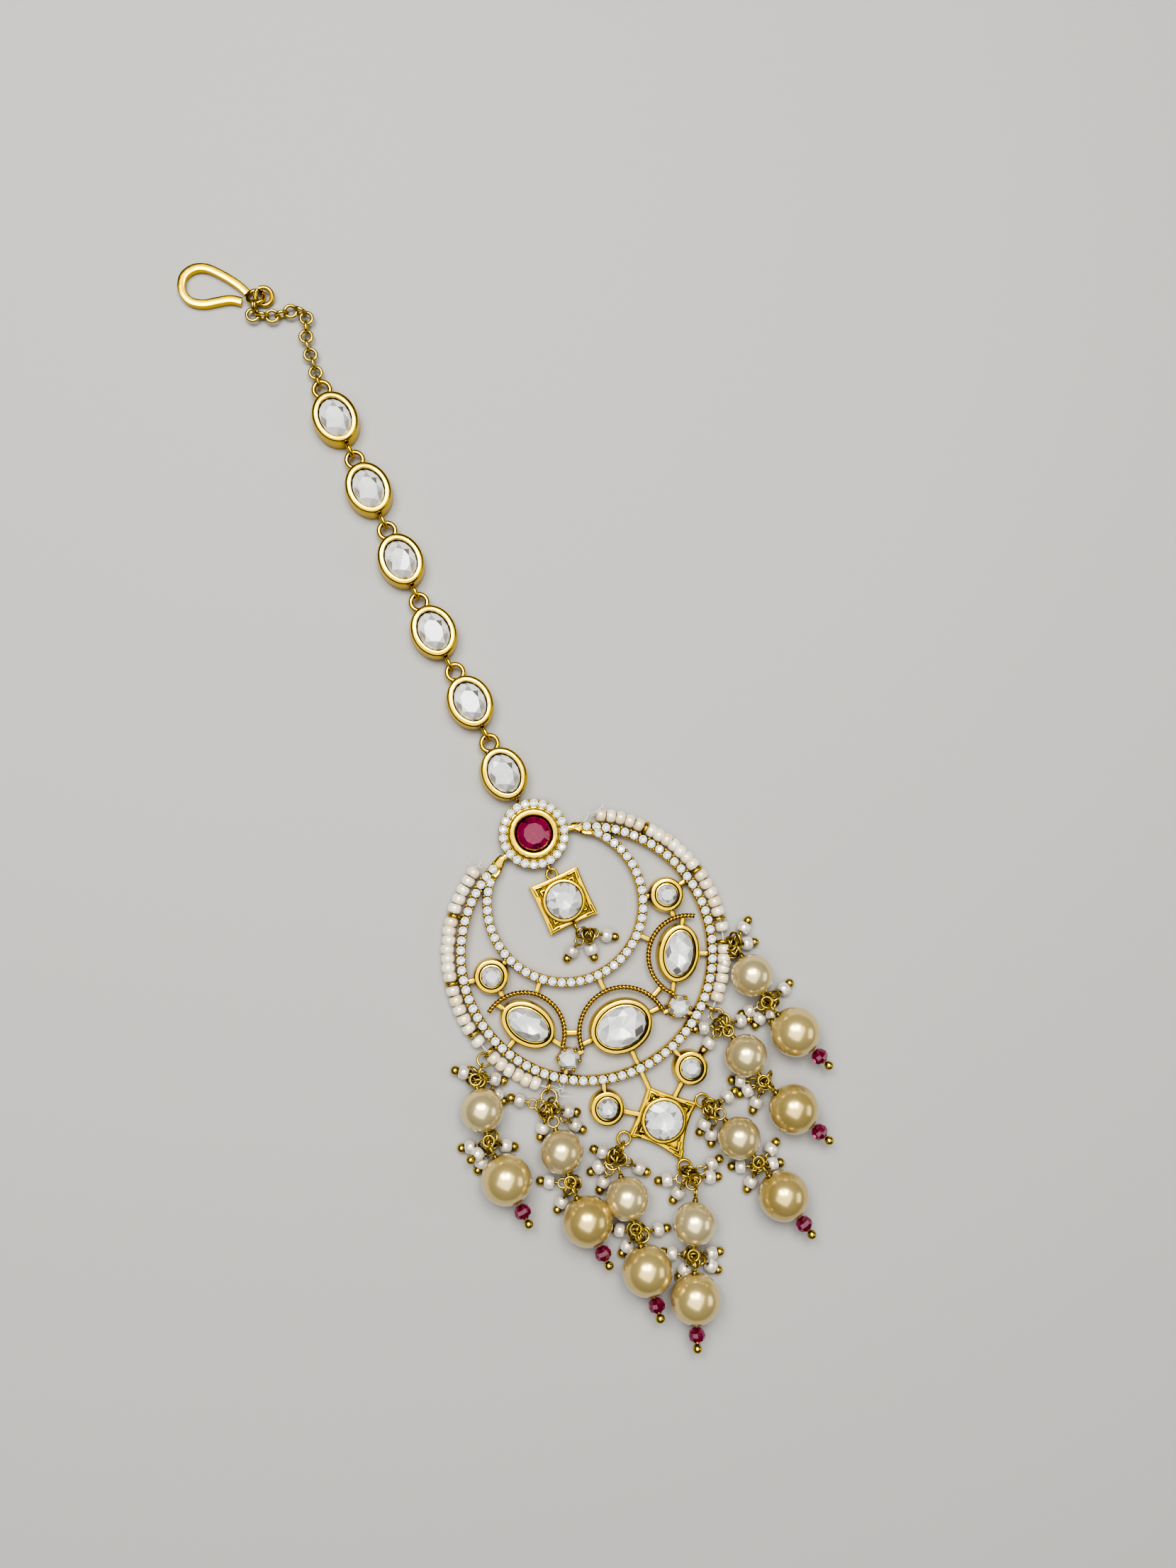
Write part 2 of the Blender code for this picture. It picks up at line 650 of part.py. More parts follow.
def drop():
    """The square drop: a four-cornered plate, a collar and a flat loop through the ruby cluster's eye."""
    place = (0, DROP_Y)
    plate = star_plate(place, (DROP_CORNER_REACH,) * 4, DROP_WAIST, 45, DROP_PLATE_HEIGHT)
    loop = DROP_LINK_RADIUS
    passing = drop_eye().y - DROP_LINK_RADIUS + DROP_LINK_WIRE + LOOSE
    ring = wire_ring(Vector((0, passing - loop, EYE_HEIGHT)), outward(90), outward(0), loop, DROP_LINK_WIRE)
    neck = bar((0, passing - 2 * loop), (0, DROP_Y), DROP_NECK_WIDTH)
    foot = DROP_Y - DROP_WAIST - EYE_RADIUS + DROP_FOOT_EYE_INSET
    eye = wire_ring(Vector((0, foot, EYE_HEIGHT)), outward(0), UP, EYE_RADIUS, EYE_WIRE)
    bodies = [plate, plate_bezel(place, DROP_BEZEL_DIAMETER, DROP_BEZEL_WALL), ring, neck, eye]
    solid("square_drop", bodies, metal(GOLD, "square_drop_gold"))
    size = DROP_BEZEL_DIAMETER
    set_stone("square_drop_stone", place, size, size, 0, DROP_BEZEL_WALL)


def crescent_stones():
    """The crescent's main stones, each on its own."""
    heights = (HALO_EDGE_HEIGHT + STONE_CLEARANCE, RUBY_GIRDLE_HEIGHT, RUBY_TABLE_HEIGHT)
    size = RUBY_DIAMETER - STONE_CLEARANCE
    ruby = cut_stone((0, 0), size, size, 0, heights, ROUND_SIDES)
    solid("ruby", [ruby], plain(RUBY, "ruby_crystal"))
    set_stone("big_oval_stone", BIG_OVAL_PLACE, BIG_OVAL_WIDTH, BIG_OVAL_LENGTH, 0)
    set_stone("star_stone", (0, STAR_Y), STAR_BEZEL_DIAMETER, STAR_BEZEL_DIAMETER, 0, STAR_BEZEL_WALL)
    for side, word in ((1, "right"), (-1, "left")):
        place = (side * ROUND_PLACE[0], ROUND_PLACE[1])
        set_stone("side_round_stone_" + word, place, ROUND_DIAMETER, ROUND_DIAMETER, 0)
        place = (side * SIDE_OVAL_PLACE[0], SIDE_OVAL_PLACE[1])
        set_stone("side_oval_stone_" + word, place, SIDE_OVAL_LENGTH, SIDE_OVAL_WIDTH, side * SIDE_OVAL_TURN)
        place = (side * LOW_ROUND_PLACE[0], LOW_ROUND_PLACE[1])
        set_stone("low_round_stone_" + word, place, ROUND_DIAMETER, ROUND_DIAMETER, 0)
        place = (side * PRONG_STONE_PLACE[0], PRONG_STONE_PLACE[1])
        heights = (BEZEL_STEP_HEIGHT + STONE_CLEARANCE, STONE_GIRDLE_HEIGHT, STONE_TABLE_HEIGHT)
        stone = cut_stone(place, PRONG_STONE_DIAMETER, PRONG_STONE_DIAMETER, 0, heights)
        name = "prong_stone_" + word
        solid(name, [stone], plain(WHITE, name + "_crystal"))


def link_turn(number):
    """How far a stone link is turned from +Y towards +X, from the links beside it."""
    below = LINK_DRIFT[max(number - 1, 0)]
    above = LINK_DRIFT[min(number + 1, len(LINK_DRIFT) - 1)]
    return atan2(above - below, 2 * LINK_PITCH) * 180 / pi


def stone_links():
    """The six stone links, numbered from the ruby upwards."""
    steps = (
        (0, 0),
        (0, LINK_LOOP_HEIGHT),
        (LINK_FLARE, LINK_RIM_HEIGHT),
        (LINK_WALL * LINK_RIM_END, LINK_RIM_HEIGHT),
        (LINK_WALL, LINK_BACK),
    )
    for number, drift in enumerate(LINK_DRIFT):
        place = (drift, LAST_LINK_Y + number * LINK_PITCH)
        turn = link_turn(number)
        up, across = outward(turn), outward(turn + 90)
        middle = Vector((*place, LINK_LOOP_HEIGHT))
        head = wire_ring(middle + up * LINK_LOOP_REACH, across, up, LINK_LOOP_RADIUS, LINK_LOOP_WIRE)
        bodies = [cup(place, LINK_BASE_LENGTH, LINK_BASE_WIDTH, turn, steps, LINK_SIDES), head]
        if number:
            bodies.append(wire_ring(middle - up * LINK_RING_REACH, up, UP, LINK_RING_RADIUS, LINK_RING_WIRE))
        else:
            bodies += halo_ring(place)
        name = f"link_setting_{number + 1}"
        solid(name, bodies, metal(GOLD, name + "_gold"))
        inset = 2 * (LINK_WALL + STONE_CLEARANCE)
        heights = (LINK_BACK + STONE_CLEARANCE, LINK_GIRDLE_HEIGHT, LINK_RIM_HEIGHT)
        stone = cut_stone(place, LINK_BASE_LENGTH - inset, LINK_BASE_WIDTH - inset, turn, heights)
        name = f"link_stone_{number + 1}"
        solid(name, [stone], plain(WHITE, name + "_crystal"))


def halo_ring(place):
    """The small ring of the last link that passes through the loop under the ruby cluster, and its stem."""
    # The far side of the halo's loop runs through the middle of the small ring
    crossing = HALO_CORE_DIAMETER / 2 + HALO_LOOP_REACH + HALO_LOOP_RADIUS
    centre = Vector((0, crossing, HALO_LOOP_HEIGHT))
    ring = wire_ring(centre, outward(0), UP, HALO_RING_RADIUS, HALO_LOOP_WIRE)
    start = (0, centre.y + HALO_RING_RADIUS)
    end = (place[0], place[1] - LINK_BASE_LENGTH / 2 + HALO_STEM_INSET)
    return [ring, bar(start, end, HALO_LOOP_WIRE, HALO_STEM_LOW, HALO_STEM_HIGH)]


def smooth_route(points, steps):
    """A smooth curve through the points, as a list with a few steps between each two."""
    ends = [points[0] * 2 - points[1], *points, points[-1] * 2 - points[-2]]
    route = []
    for i in range(1, len(ends) - 2):
        before, here, there, after = ends[i - 1 : i + 3]
        for j in range(steps):
            t = j / steps
            bend = (there - before) * t
            bend += (before * 2 - here * 5 + there * 4 - after) * t**2
            bend += (here * 3 - before - there * 3 + after) * t**3
            route.append(here + bend / 2)
    return [*route, points[-1]]


def evenly(route, pitch):
    """Places along a route, a pitch apart in a straight line, from its first point on."""
    places = [route[0]]
    for start, end in zip(route, route[1:]):
        while (end - places[-1]).length >= pitch:
            # The point of this step that lies one pitch from the last place
            line = end - start
            gap = start - places[-1]
            lean = gap.dot(line) / line.length_squared
            reach = -lean + sqrt(lean * lean - (gap.length_squared - pitch * pitch) / line.length_squared)
            places.append(start + line * reach)
    return places


def spaced(route, count):
    """Places along a route, equally far apart in straight lines, from its first point to its last."""
    low, high = 0.1, sum((b - a).length for a, b in zip(route, route[1:])) / count + 0.1
    for _ in range(40):
        step = (low + high) / 2
        if len(evenly(route, step)) > count:
            low = step
        else:
            high = step
    return [*evenly(route, low)[:count], route[-1]]


def chain():
    """The rolo chain: rings a quarter turn from each other, joined where they touch, and a larger end ring."""
    last = len(LINK_DRIFT) - 1
    head = outward(link_turn(last)) * (LINK_LOOP_REACH + LINK_LOOP_RADIUS)
    crossing = Vector((LINK_DRIFT[last], LAST_LINK_Y + last * LINK_PITCH, 0)) + head
    way = outward(CHAIN_END_TURN)
    eye_edge = Vector((*HOOK_EYE_PLACE, 0)) + way * HOOK_EYE_RADIUS
    end_ring = eye_edge + way * (CHAIN_END_RING_RADIUS - (CHAIN_END_RING_WIRE + HOOK_EYE_WIRE) / 2 - LOOSE)
    middle = [Vector((x, y, 0)) for x, y in CHAIN_ROUTE]
    radius = CHAIN_RING_RADIUS
    # The rings' size follows the route's length, so that they meet all along it
    for _ in range(6):
        first = crossing + Vector((0, radius - (CHAIN_WIRE + LINK_LOOP_WIRE) / 2 - LOOSE, 0))
        reach = CHAIN_END_RING_RADIUS + radius - (CHAIN_END_RING_WIRE + CHAIN_WIRE) / 2 + SOLDER
        route = smooth_route([first, *middle, end_ring + way * reach], 12)
        length = sum((b - a).length for a, b in zip(route, route[1:]))
        pitch = 2 * CHAIN_RING_RADIUS - CHAIN_WIRE + SOLDER
        places = spaced(route, round((length / pitch - 1) / 2) * 2 + 1)
        radius = ((places[1] - places[0]).length + CHAIN_WIRE - SOLDER) / 2
    bodies = []
    for i, place in enumerate(places):
        before, after = places[max(i - 1, 0)], places[min(i + 1, len(places) - 1)]
        along = (after - before).normalized()
        across = along.cross(UP) if i % 2 else UP
        bodies.append(wire_ring(place + UP * CHAIN_HEIGHT, along, across, radius, CHAIN_WIRE))
    bodies.append(wire_ring(end_ring + UP * CHAIN_HEIGHT, way, UP, CHAIN_END_RING_RADIUS, CHAIN_END_RING_WIRE))
    solid("rolo_chain", bodies, metal(AGED_GOLD, "rolo_chain_gold"))


def hook():
    """The hair hook: a bent strip that ends in a tilted eye, with a loose jump ring through the eye."""
    eye = Vector((*HOOK_EYE_PLACE, HOOK_EYE_HEIGHT))
    ring = Vector((*JUMP_RING_PLACE, HOOK_EYE_HEIGHT))
    line = (ring - eye).normalized()
    side = UP.cross(line)
    tilt = radians(HOOK_EYE_TILT)
    rises = side * cos(tilt) + UP * sin(tilt)
    falls = side * cos(tilt) - UP * sin(tilt)
    route = smooth_route([Vector((x, y, 0)) for x, y in HOOK_BENDS], 3)
    sections = []
    for i, place in enumerate(route):
        along = (route[min(i + 1, len(route) - 1)] - route[max(i - 1, 0)]).normalized()
        out = along.cross(UP) * HOOK_STRIP_WIDTH / 2
        top = UP * HOOK_STRIP_HEIGHT
        sections.append([place - out, place + out, place + out + top, place - out + top])
    bodies = [skin(sections), wire_ring(eye, line, falls, HOOK_EYE_RADIUS, HOOK_EYE_WIRE)]
    solid("hair_hook", bodies, metal(GOLD, "hair_hook_gold"))
    ring_body = wire_ring(ring, line, rises, JUMP_RING_RADIUS, JUMP_RING_WIRE)
    solid("jump_ring", [ring_body], metal(GOLD, "jump_ring_gold"))


def seed_string(side, word):
    """One string of seed beads: a tube that thins to its thread where it passes through the eyes."""
    centre = (0, OUTER_BAND_Y)
    reach = Vector(eye_place(0).xy) - Vector(centre)
    radius = reach.length
    full, neck = STRING_THICKNESS / 2, STRING_NECK / 2
    degrees_per_mm = 180 / pi / radius
    marks = [(STRING_START_TURN, full)]
    for turn in STRING_EYE_TURNS:
        half = STRING_TASSEL_NECK_REACH if turn in TASSEL_EYE_TURNS else STRING_NECK_REACH
        thin = half * degrees_per_mm
        taper = (half + STRING_TAPER) * degrees_per_mm
        marks += [(turn - taper, full), (turn - thin, neck), (turn + thin, neck), (turn + taper, full)]
    # The thread ends just past the last eye
    marks[-2:] = [(STRING_EYE_TURNS[-1] + STRING_END_REACH * degrees_per_mm, neck)]
    points = []
    for (turn, size), (after, next_size) in zip(marks, marks[1:] + marks[-1:]):
        points.append((turn, size))
        if size == next_size == full and after - turn > STRING_STEP:
            count = int((after - turn) / STRING_STEP)
            points += [(turn + (after - turn) * i / (count + 1), full) for i in range(1, count + 1)]
    curve = bpy.data.curves.new("seed_string_" + word, "CURVE")
    curve.dimensions = "3D"
    curve.bevel_depth = full * MM
    curve.bevel_resolution = 2
    curve.use_fill_caps = True
    spline = curve.splines.new("POLY")
    spline.points.add(len(points) - 1)
    for point, (turn, size) in zip(spline.points, points):
        inset = STRING_NECK_INSET if size == neck else 0
        x, y = on_circle(centre, radius + STRING_CLEAR - inset, side * turn)
        point.co = (x * MM, y * MM, (full + LOOSE) * MM, 1)
        point.radius = size / full
    curve.materials.append(plain(CREAM, "seed_string_" + word + "_glass"))
    bpy.context.scene.collection.objects.link(bpy.data.objects.new("seed_string_" + word, curve))


def drilled_pearl(name, centre, axis, diameter, colour):
    """A round pearl with a bore along its axis."""
    radius = diameter / 2
    mouth = asin(PEARL_BORE / diameter)
    across = axis.orthogonal().normalized()
    along = axis.cross(across)
    rings = []
    for i in range(PEARL_STEPS + 1):
        turn = mouth + (pi - 2 * mouth) * i / PEARL_STEPS
        middle = centre - axis * radius * cos(turn)
        rings.append(circle(middle, across, along, radius * sin(turn), PEARL_SIDES))
    solid(name, [skin(rings, closed=True)], plain(colour, name + "_nacre"))


def turned_bead(centre, axis, diameter, profile, sides):
    """A small turned bead: profile lists (share of the length, share of the radius)."""
    radius = diameter / 2
    radii = [(share, radius * width) for share, width in profile]
    return rod(centre - axis * radius, centre + axis * radius, radii, sides)


def tassel_anchor(place, way):
    """Where a tassel's first ring passes through its eye, for rings that run one way from it."""
    side = -1 if place.startswith("left") else 1
    gap = (EYE_WIRE + PIN_WIRE) / 2 + LOOSE
    if place in STAR_EYES:
        return star_eye(*STAR_EYES[place]) + way * (EYE_RADIUS - gap)
    turn = side * TASSEL_EYE_TURNS[0 if place.endswith("side") else 1]
    return eye_place(turn) + outward(turn) * (EYE_RADIUS - gap / way.dot(outward(turn)))


def leaning(turn, lift):
    """A unit direction turned from -Y towards +X, in degrees, and lifted off the level."""
    level = Vector((sin(radians(turn)), -cos(radians(turn)), 0))
    return level * cos(radians(lift)) + UP * sin(radians(lift))


def step_to_height(start, turn, length, height):
    """The place a given length from start, in a plan direction, that lies at a height."""
    rise = height - start.z
    level = sqrt(length * length - rise * rise)
    return Vector((*(start + leaning(turn, 0) * level).xy, height))


def tassel(number, row):
    """One tassel: rings, an eyed pin through the upper pearl, and a headed pin through the lower one."""
    upper, lower = UPPER_PEARL_DIAMETER / 2, LOWER_PEARL_DIAMETER / 2
    radius, count = row["radius"] * GROWTH, row["rings"]
    overlap = SOLDER - PIN_WIRE
    upper_axis = leaning(row["upper_turn"], PIN_LIFT)
    lower_axis = leaning(row["lower_turn"], -PIN_DROOP)
    reach = PIN_NECK + PIN_EYE_RADIUS + PIN_WIRE / 2
    head_height = upper - upper_axis.z * (upper + reach)
    anchor = tassel_anchor(row["hangs_from"], leaning(row["ring_turn"], 0))
    # A flat eye takes an upright first ring, and an upright eye a flat one
    starts_upright = row["hangs_from"] in STAR_EYES
    steps = [radius] + [2 * radius + overlap] * (count - 1)
    ring_length = sum(steps) + radius + PIN_EYE_RADIUS + overlap
    head = step_to_height(anchor, row["ring_turn"], ring_length, head_height)
    way = (head - anchor).normalized()
    side = way.cross(UP).normalized()
    bodies = []
    place = anchor
    for i, step in enumerate(steps):
        place = place + way * step
        across = side.cross(way) if (i + starts_upright) % 2 else side
        bodies.append(wire_ring(place, way, across, radius, PIN_WIRE))
    upper_side = upper_axis.cross(UP).normalized()
    upper_rise = upper_side.cross(upper_axis)
    across = upper_rise if (count + starts_upright) % 2 else upper_side
    bodies.append(wire_ring(head, upper_axis, across, PIN_EYE_RADIUS, PIN_WIRE))
    upper_pearl = head + upper_axis * (upper + reach)
    foot = upper_pearl + upper_axis * (upper + reach)
    bodies.append(wire_ring(foot, upper_axis, upper_side, PIN_EYE_RADIUS, PIN_WIRE))
    pin_ends = ((0, PIN_WIRE / 2), (1, PIN_WIRE / 2))
    bodies.append(rod(head + upper_axis * PIN_EYE_RADIUS, foot - upper_axis * PIN_EYE_RADIUS, pin_ends))
    top_height = lower - lower_axis.z * (lower + reach)
    mean_turn = (row["upper_turn"] + row["lower_turn"]) / 2
    top = step_to_height(foot, mean_turn, 2 * PIN_EYE_RADIUS + overlap, top_height)
    lower_rise = lower_axis.cross(UP).normalized().cross(lower_axis)
    bodies.append(wire_ring(top, lower_axis, lower_rise, PIN_EYE_RADIUS, PIN_WIRE))
    lower_pearl = top + lower_axis * (lower + reach)
    crystal = lower_pearl + lower_axis * (lower + CRYSTAL_REACH)
    end_ball = crystal + lower_axis * END_BALL_REACH
    bodies.append(rod(top + lower_axis * PIN_EYE_RADIUS, end_ball, pin_ends))
    bodies.append(turned_bead(crystal, lower_axis, CRYSTAL_DIAMETER, CRYSTAL_PROFILE, CRYSTAL_SIDES))
    bodies.append(turned_bead(end_ball, lower_axis, END_BALL_DIAMETER, BALL_PROFILE, RING_SIDES))
    solid(f"tassel_wire_{number}", bodies, metal(AGED_GOLD, f"tassel_wire_{number}_gold"))
    drilled_pearl(f"upper_pearl_{number}", upper_pearl, upper_axis, UPPER_PEARL_DIAMETER, CHAMPAGNE)
    drilled_pearl(f"lower_pearl_{number}", lower_pearl, lower_axis, LOWER_PEARL_DIAMETER, HONEY)


solid("crescent_frame", crescent_frame(), metal(GOLD, "crescent_frame_gold"))
crescent_stones()
drop()
stone_links()
chain()
hook()
seed_string(1, "right")
seed_string(-1, "left")
for row_number, tassel_row in enumerate(TASSELS, 1):
    tassel(row_number, dict(zip(TASSEL_COLUMNS, tassel_row)))
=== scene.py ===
from math import asin, atan2, cos, degrees, pi, radians, sin, sqrt
from random import Random

import bpy
from mathutils import Matrix, Vector


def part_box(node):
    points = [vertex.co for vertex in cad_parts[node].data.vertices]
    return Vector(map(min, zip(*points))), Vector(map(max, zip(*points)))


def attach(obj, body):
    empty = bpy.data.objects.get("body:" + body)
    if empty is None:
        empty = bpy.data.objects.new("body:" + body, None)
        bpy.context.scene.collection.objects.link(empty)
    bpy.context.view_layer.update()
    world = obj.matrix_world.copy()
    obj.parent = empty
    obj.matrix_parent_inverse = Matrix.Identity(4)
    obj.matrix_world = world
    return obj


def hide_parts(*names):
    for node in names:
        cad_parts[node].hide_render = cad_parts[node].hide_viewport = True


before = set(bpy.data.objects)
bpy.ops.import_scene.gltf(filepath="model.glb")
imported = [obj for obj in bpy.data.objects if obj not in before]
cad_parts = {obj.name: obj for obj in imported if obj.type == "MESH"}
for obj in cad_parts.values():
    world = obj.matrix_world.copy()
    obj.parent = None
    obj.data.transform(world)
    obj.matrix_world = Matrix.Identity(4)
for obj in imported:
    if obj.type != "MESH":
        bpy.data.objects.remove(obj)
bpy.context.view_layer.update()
bpy.ops.object.select_all(action="DESELECT")

# Hair hook
# One strip of gold-plated brass, bent into a drop-shaped loop that a hair pin goes through. One end is
# soldered to a round wire eye, and the other lies free beside it.
MM = 0.001
UP = Vector((0, 0, 1))
HOOK_BENDS = (
    (-5.2, 87.75), (-5.85, 89.3), (-7.2, 91.35), (-9.0, 93.35), (-10.8, 93.98), (-12.6, 93.4),
    (-13.56, 91.6), (-13.1, 89.75), (-11.5, 88.65), (-9.3, 88.2), (-7.7, 87.8), (-6.45, 86.95),
)
HOOK_STRIP_WIDTH = 1.07
HOOK_STRIP_HEIGHT = 1.2
HOOK_STRIP_EDGE = 0.1
HOOK_EYE_PLACE = (-4.35, 86.8)
HOOK_EYE_RADIUS = 1.15
HOOK_EYE_WIRE = 0.64
HOOK_EYE_WINDING = 0.1
HOOK_EYE_HEIGHT = 0.9
HOOK_EYE_TILT = 19
JUMP_RING_PLACE = (-3.25, 86.45)


def linear(hex_colour):
    """An sRGB hex colour as the linear one that a shader takes."""
    shares = [int(hex_colour[i : i + 2], 16) / 255 for i in (1, 3, 5)]
    return (*(s / 12.92 if s <= 0.04045 else ((s + 0.055) / 1.055) ** 2.4 for s in shares), 1)


def add(material, kind, inputs, **properties):
    """Adds a node to a material. An input takes a value, or another node's output that is joined to it."""
    node = material.node_tree.nodes.new(kind)
    for name, value in properties.items():
        setattr(node, name, value)
    for name, value in inputs.items():
        if isinstance(value, bpy.types.NodeSocket):
            material.node_tree.links.new(value, node.inputs[name])
        else:
            node.inputs[name].default_value = value
    return node


def surface(name, **inputs):
    """A new material, with its shader's sockets set to values."""
    material = bpy.data.materials.new(name)
    material.use_nodes = True
    for socket, value in inputs.items():
        material.node_tree.nodes["Principled BSDF"].inputs[socket.replace("_", " ")].default_value = value
    return material


def feed(material, socket, output):
    """Joins a node's output to one of the shader's sockets."""
    material.node_tree.links.new(output, material.node_tree.nodes["Principled BSDF"].inputs[socket])


def noise(material, size, detail):
    """Soft noise in the piece's own space, its patches about a size across in millimetres."""
    place = add(material, "ShaderNodeTexCoord", {}).outputs["Object"]
    values = {"Vector": place, "Scale": 1 / (size * MM), "Detail": detail}
    return add(material, "ShaderNodeTexNoise", values).outputs[0]


def ranged(material, value, low, high, first, last):
    """A value that goes from first to last as another goes from low to high."""
    limits = {"Value": value, "From Min": low, "From Max": high, "To Min": first, "To Max": last}
    return add(material, "ShaderNodeMapRange", limits).outputs[0]


def coloured(material, share, first, second):
    """Takes a material from its first colour to its second as a share goes from 0 to 1."""
    colours = {"Factor": share, "A": linear(first), "B": linear(second)}
    feed(material, "Base Color", add(material, "ShaderNodeMix", colours, data_type="RGBA").outputs["Result"])


def bumped(material, height, strength, depth):
    """Gives a material's surface a fine relief, its depth in millimetres."""
    values = {"Height": height, "Strength": strength, "Distance": depth * MM}
    feed(material, "Normal", add(material, "ShaderNodeBump", values).outputs[0])


def gold_plate(name, shade):
    """Brass plated with yellow gold and buffed: a near mirror, a little wavy, with painted shade darkening
    its corners.
    """
    material = surface(name, Metallic=1.0)
    # Painted shade: ambient occlusion takes the colour towards the shade colour in corners, between parts and
    # where the piece meets the table
    corners = add(material, "ShaderNodeAmbientOcclusion", {"Distance": 0.45 * MM}, samples=6).outputs["AO"]
    coloured(material, ranged(material, corners, 0.35, 0.8, 1.0, 0.0), "#D2B139", shade)
    # Waves of the hand buffing, about 1.2 mm long, and finer smears in the polish
    feed(material, "Roughness", ranged(material, noise(material, 2.5, 6.0), 0.3, 0.7, 0.12, 0.26))
    bumped(material, noise(material, 1.2, 1.0), 0.5, 0.05)
    return material


def select(*pieces):
    """Selects these objects alone, and makes the first one active."""
    bpy.ops.object.select_all(action="DESELECT")
    for piece in pieces:
        piece.select_set(True)
    bpy.context.view_layer.objects.active = pieces[0]


def linked(name, data):
    """A new object with this data, in the scene."""
    piece = bpy.data.objects.new(name, data)
    bpy.context.scene.collection.objects.link(piece)
    return piece


def basic(shape, **sizes):
    """A new basic shape, the only one selected."""
    bpy.ops.object.select_all(action="DESELECT")
    shape(**sizes)
    return bpy.context.view_layer.objects.active


def joined(name, pieces):
    """Several objects made one."""
    select(*pieces)
    if len(pieces) > 1:
        bpy.ops.object.join()
    piece = bpy.context.view_layer.objects.active
    piece.name = piece.data.name = name
    return piece


def dressed(piece, material, slot, *nodes, angle=40):
    """Gives a finished piece its material and its place on the frame, and hides the parts of the nodes that
    it stands for.
    """
    select(piece)
    if material:
        piece.data.materials.clear()
        piece.data.materials.append(material)
    bpy.ops.object.shade_smooth_by_angle(angle=radians(angle))
    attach(piece, "root")
    if nodes:
        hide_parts(*nodes)
    return piece


def drawn(name, routes, thickness=None, closed=False, section=None, sides=12):
    """Wires of one thickness, or strips of one section as (sideways, up), along routes in millimetres."""
    curve = bpy.data.curves.new(name, "CURVE")
    curve.dimensions = "3D"
    curve.twist_mode = "Z_UP" if section else "MINIMUM"
    curve.use_fill_caps = True
    for route in routes:
        spline = curve.splines.new("POLY")
        spline.points.add(len(route) - 1)
        spline.use_cyclic_u = closed
        for point, place in zip(spline.points, route):
            point.co = (*(Vector(place) * MM), 1)
    if section:
        outline = bpy.data.curves.new(name + "_section", "CURVE")
        edge = outline.splines.new("POLY")
        edge.points.add(len(section) - 1)
        edge.use_cyclic_u = True
        for point, corner in zip(edge.points, section):
            point.co = (corner[0] * MM, corner[1] * MM, 0, 1)
        curve.bevel_mode = "OBJECT"
        curve.bevel_object = linked(name + "_section", outline)
    else:
        curve.bevel_depth = thickness * MM / 2
        curve.bevel_resolution = sides // 2 - 2
    select(linked(name, curve))
    bpy.ops.object.convert(target="MESH")
    if section:
        bpy.data.objects.remove(curve.bevel_object, do_unlink=True)
    return bpy.context.view_layer.objects.active


def smooth_route(points, steps):
    """A smooth curve through points, with a few steps between each two."""
    points = [Vector((*point, 0)) if len(point) == 2 else Vector(point) for point in points]
    ends = [points[0] * 2 - points[1], *points, points[-1] * 2 - points[-2]]
    route = []
    for i in range(1, len(ends) - 2):
        before, here, there, after = ends[i - 1 : i + 3]
        for t in (j / steps for j in range(steps)):
            bend = (there - before) * t + (before * 2 - here * 5 + there * 4 - after) * t**2
            route.append(here + (bend + (here * 3 - before - there * 3 + after) * t**3) / 2)
    return [*route, points[-1]]


def outward(turn):
    """A level direction, turned from +Y towards +X, in degrees."""
    return Vector((sin(radians(turn)), cos(radians(turn)), 0))


def loop(centre, across, along, radius, start=0, end=360, steps=32):
    """Points round a circle in the plane of two directions."""
    count = steps if end - start == 360 else steps + 1
    turns = [radians(start + (end - start) * i / steps) for i in range(count)]
    return [centre + (across * cos(turn) + along * sin(turn)) * radius for turn in turns]


def rounded(width, low, high, edge):
    """A strip's section with its corners cut back by an edge width."""
    half = width / 2
    bevel = edge * 0.3
    return (
        (-half, low + edge), (-half, high - edge), (-half + bevel, high - bevel), (-half + edge, high),
        (half - edge, high), (half - bevel, high - bevel), (half, high - edge), (half, low + edge),
        (half - edge, low), (-half + edge, low),
    )


# The buffed gold's painted shade in its corners is a dark olive brown
gold = gold_plate("buffed_gold_plate", "#463408")
hook_eye = Vector((*HOOK_EYE_PLACE, HOOK_EYE_HEIGHT))
jump_ring_centre = Vector((*JUMP_RING_PLACE, HOOK_EYE_HEIGHT))
eye_line = (jump_ring_centre - hook_eye).normalized()
eye_side = UP.cross(eye_line)
eye_tilt = radians(HOOK_EYE_TILT)
eye_falls = eye_side * cos(eye_tilt) - UP * sin(eye_tilt)
hook_strip = drawn(
    "hook_strip",
    [smooth_route(HOOK_BENDS, 6)],
    section=rounded(HOOK_STRIP_WIDTH, 0.0, HOOK_STRIP_HEIGHT, HOOK_STRIP_EDGE),
)
# The eye is wire wound twice round
hook_eye_turns = [
    point + UP * HOOK_EYE_WINDING * (i / 32 - 1)
    for i, point in enumerate(loop(hook_eye, eye_line, eye_falls, HOOK_EYE_RADIUS, 20, 740, 64))
]
hook_wire = drawn("hook_wire", [hook_eye_turns], HOOK_EYE_WIRE)
dressed(joined("hair_hook_polished", [hook_strip, hook_wire]), gold, "bright_gold", "hair_hook")

# Jump ring
# A loose ring of round gold-plated wire through the hook's eye, bent shut with its ends not quite meeting.
JUMP_RING_RADIUS = 1.2
JUMP_RING_WIRE = 0.68
eye_rises = eye_side * cos(eye_tilt) + UP * sin(eye_tilt)
open_ring = loop(jump_ring_centre, eye_line, eye_rises, JUMP_RING_RADIUS, 128, 474, 40)
dressed(drawn("jump_ring_polished", [open_ring], JUMP_RING_WIRE), gold, "bright_gold", "jump_ring")

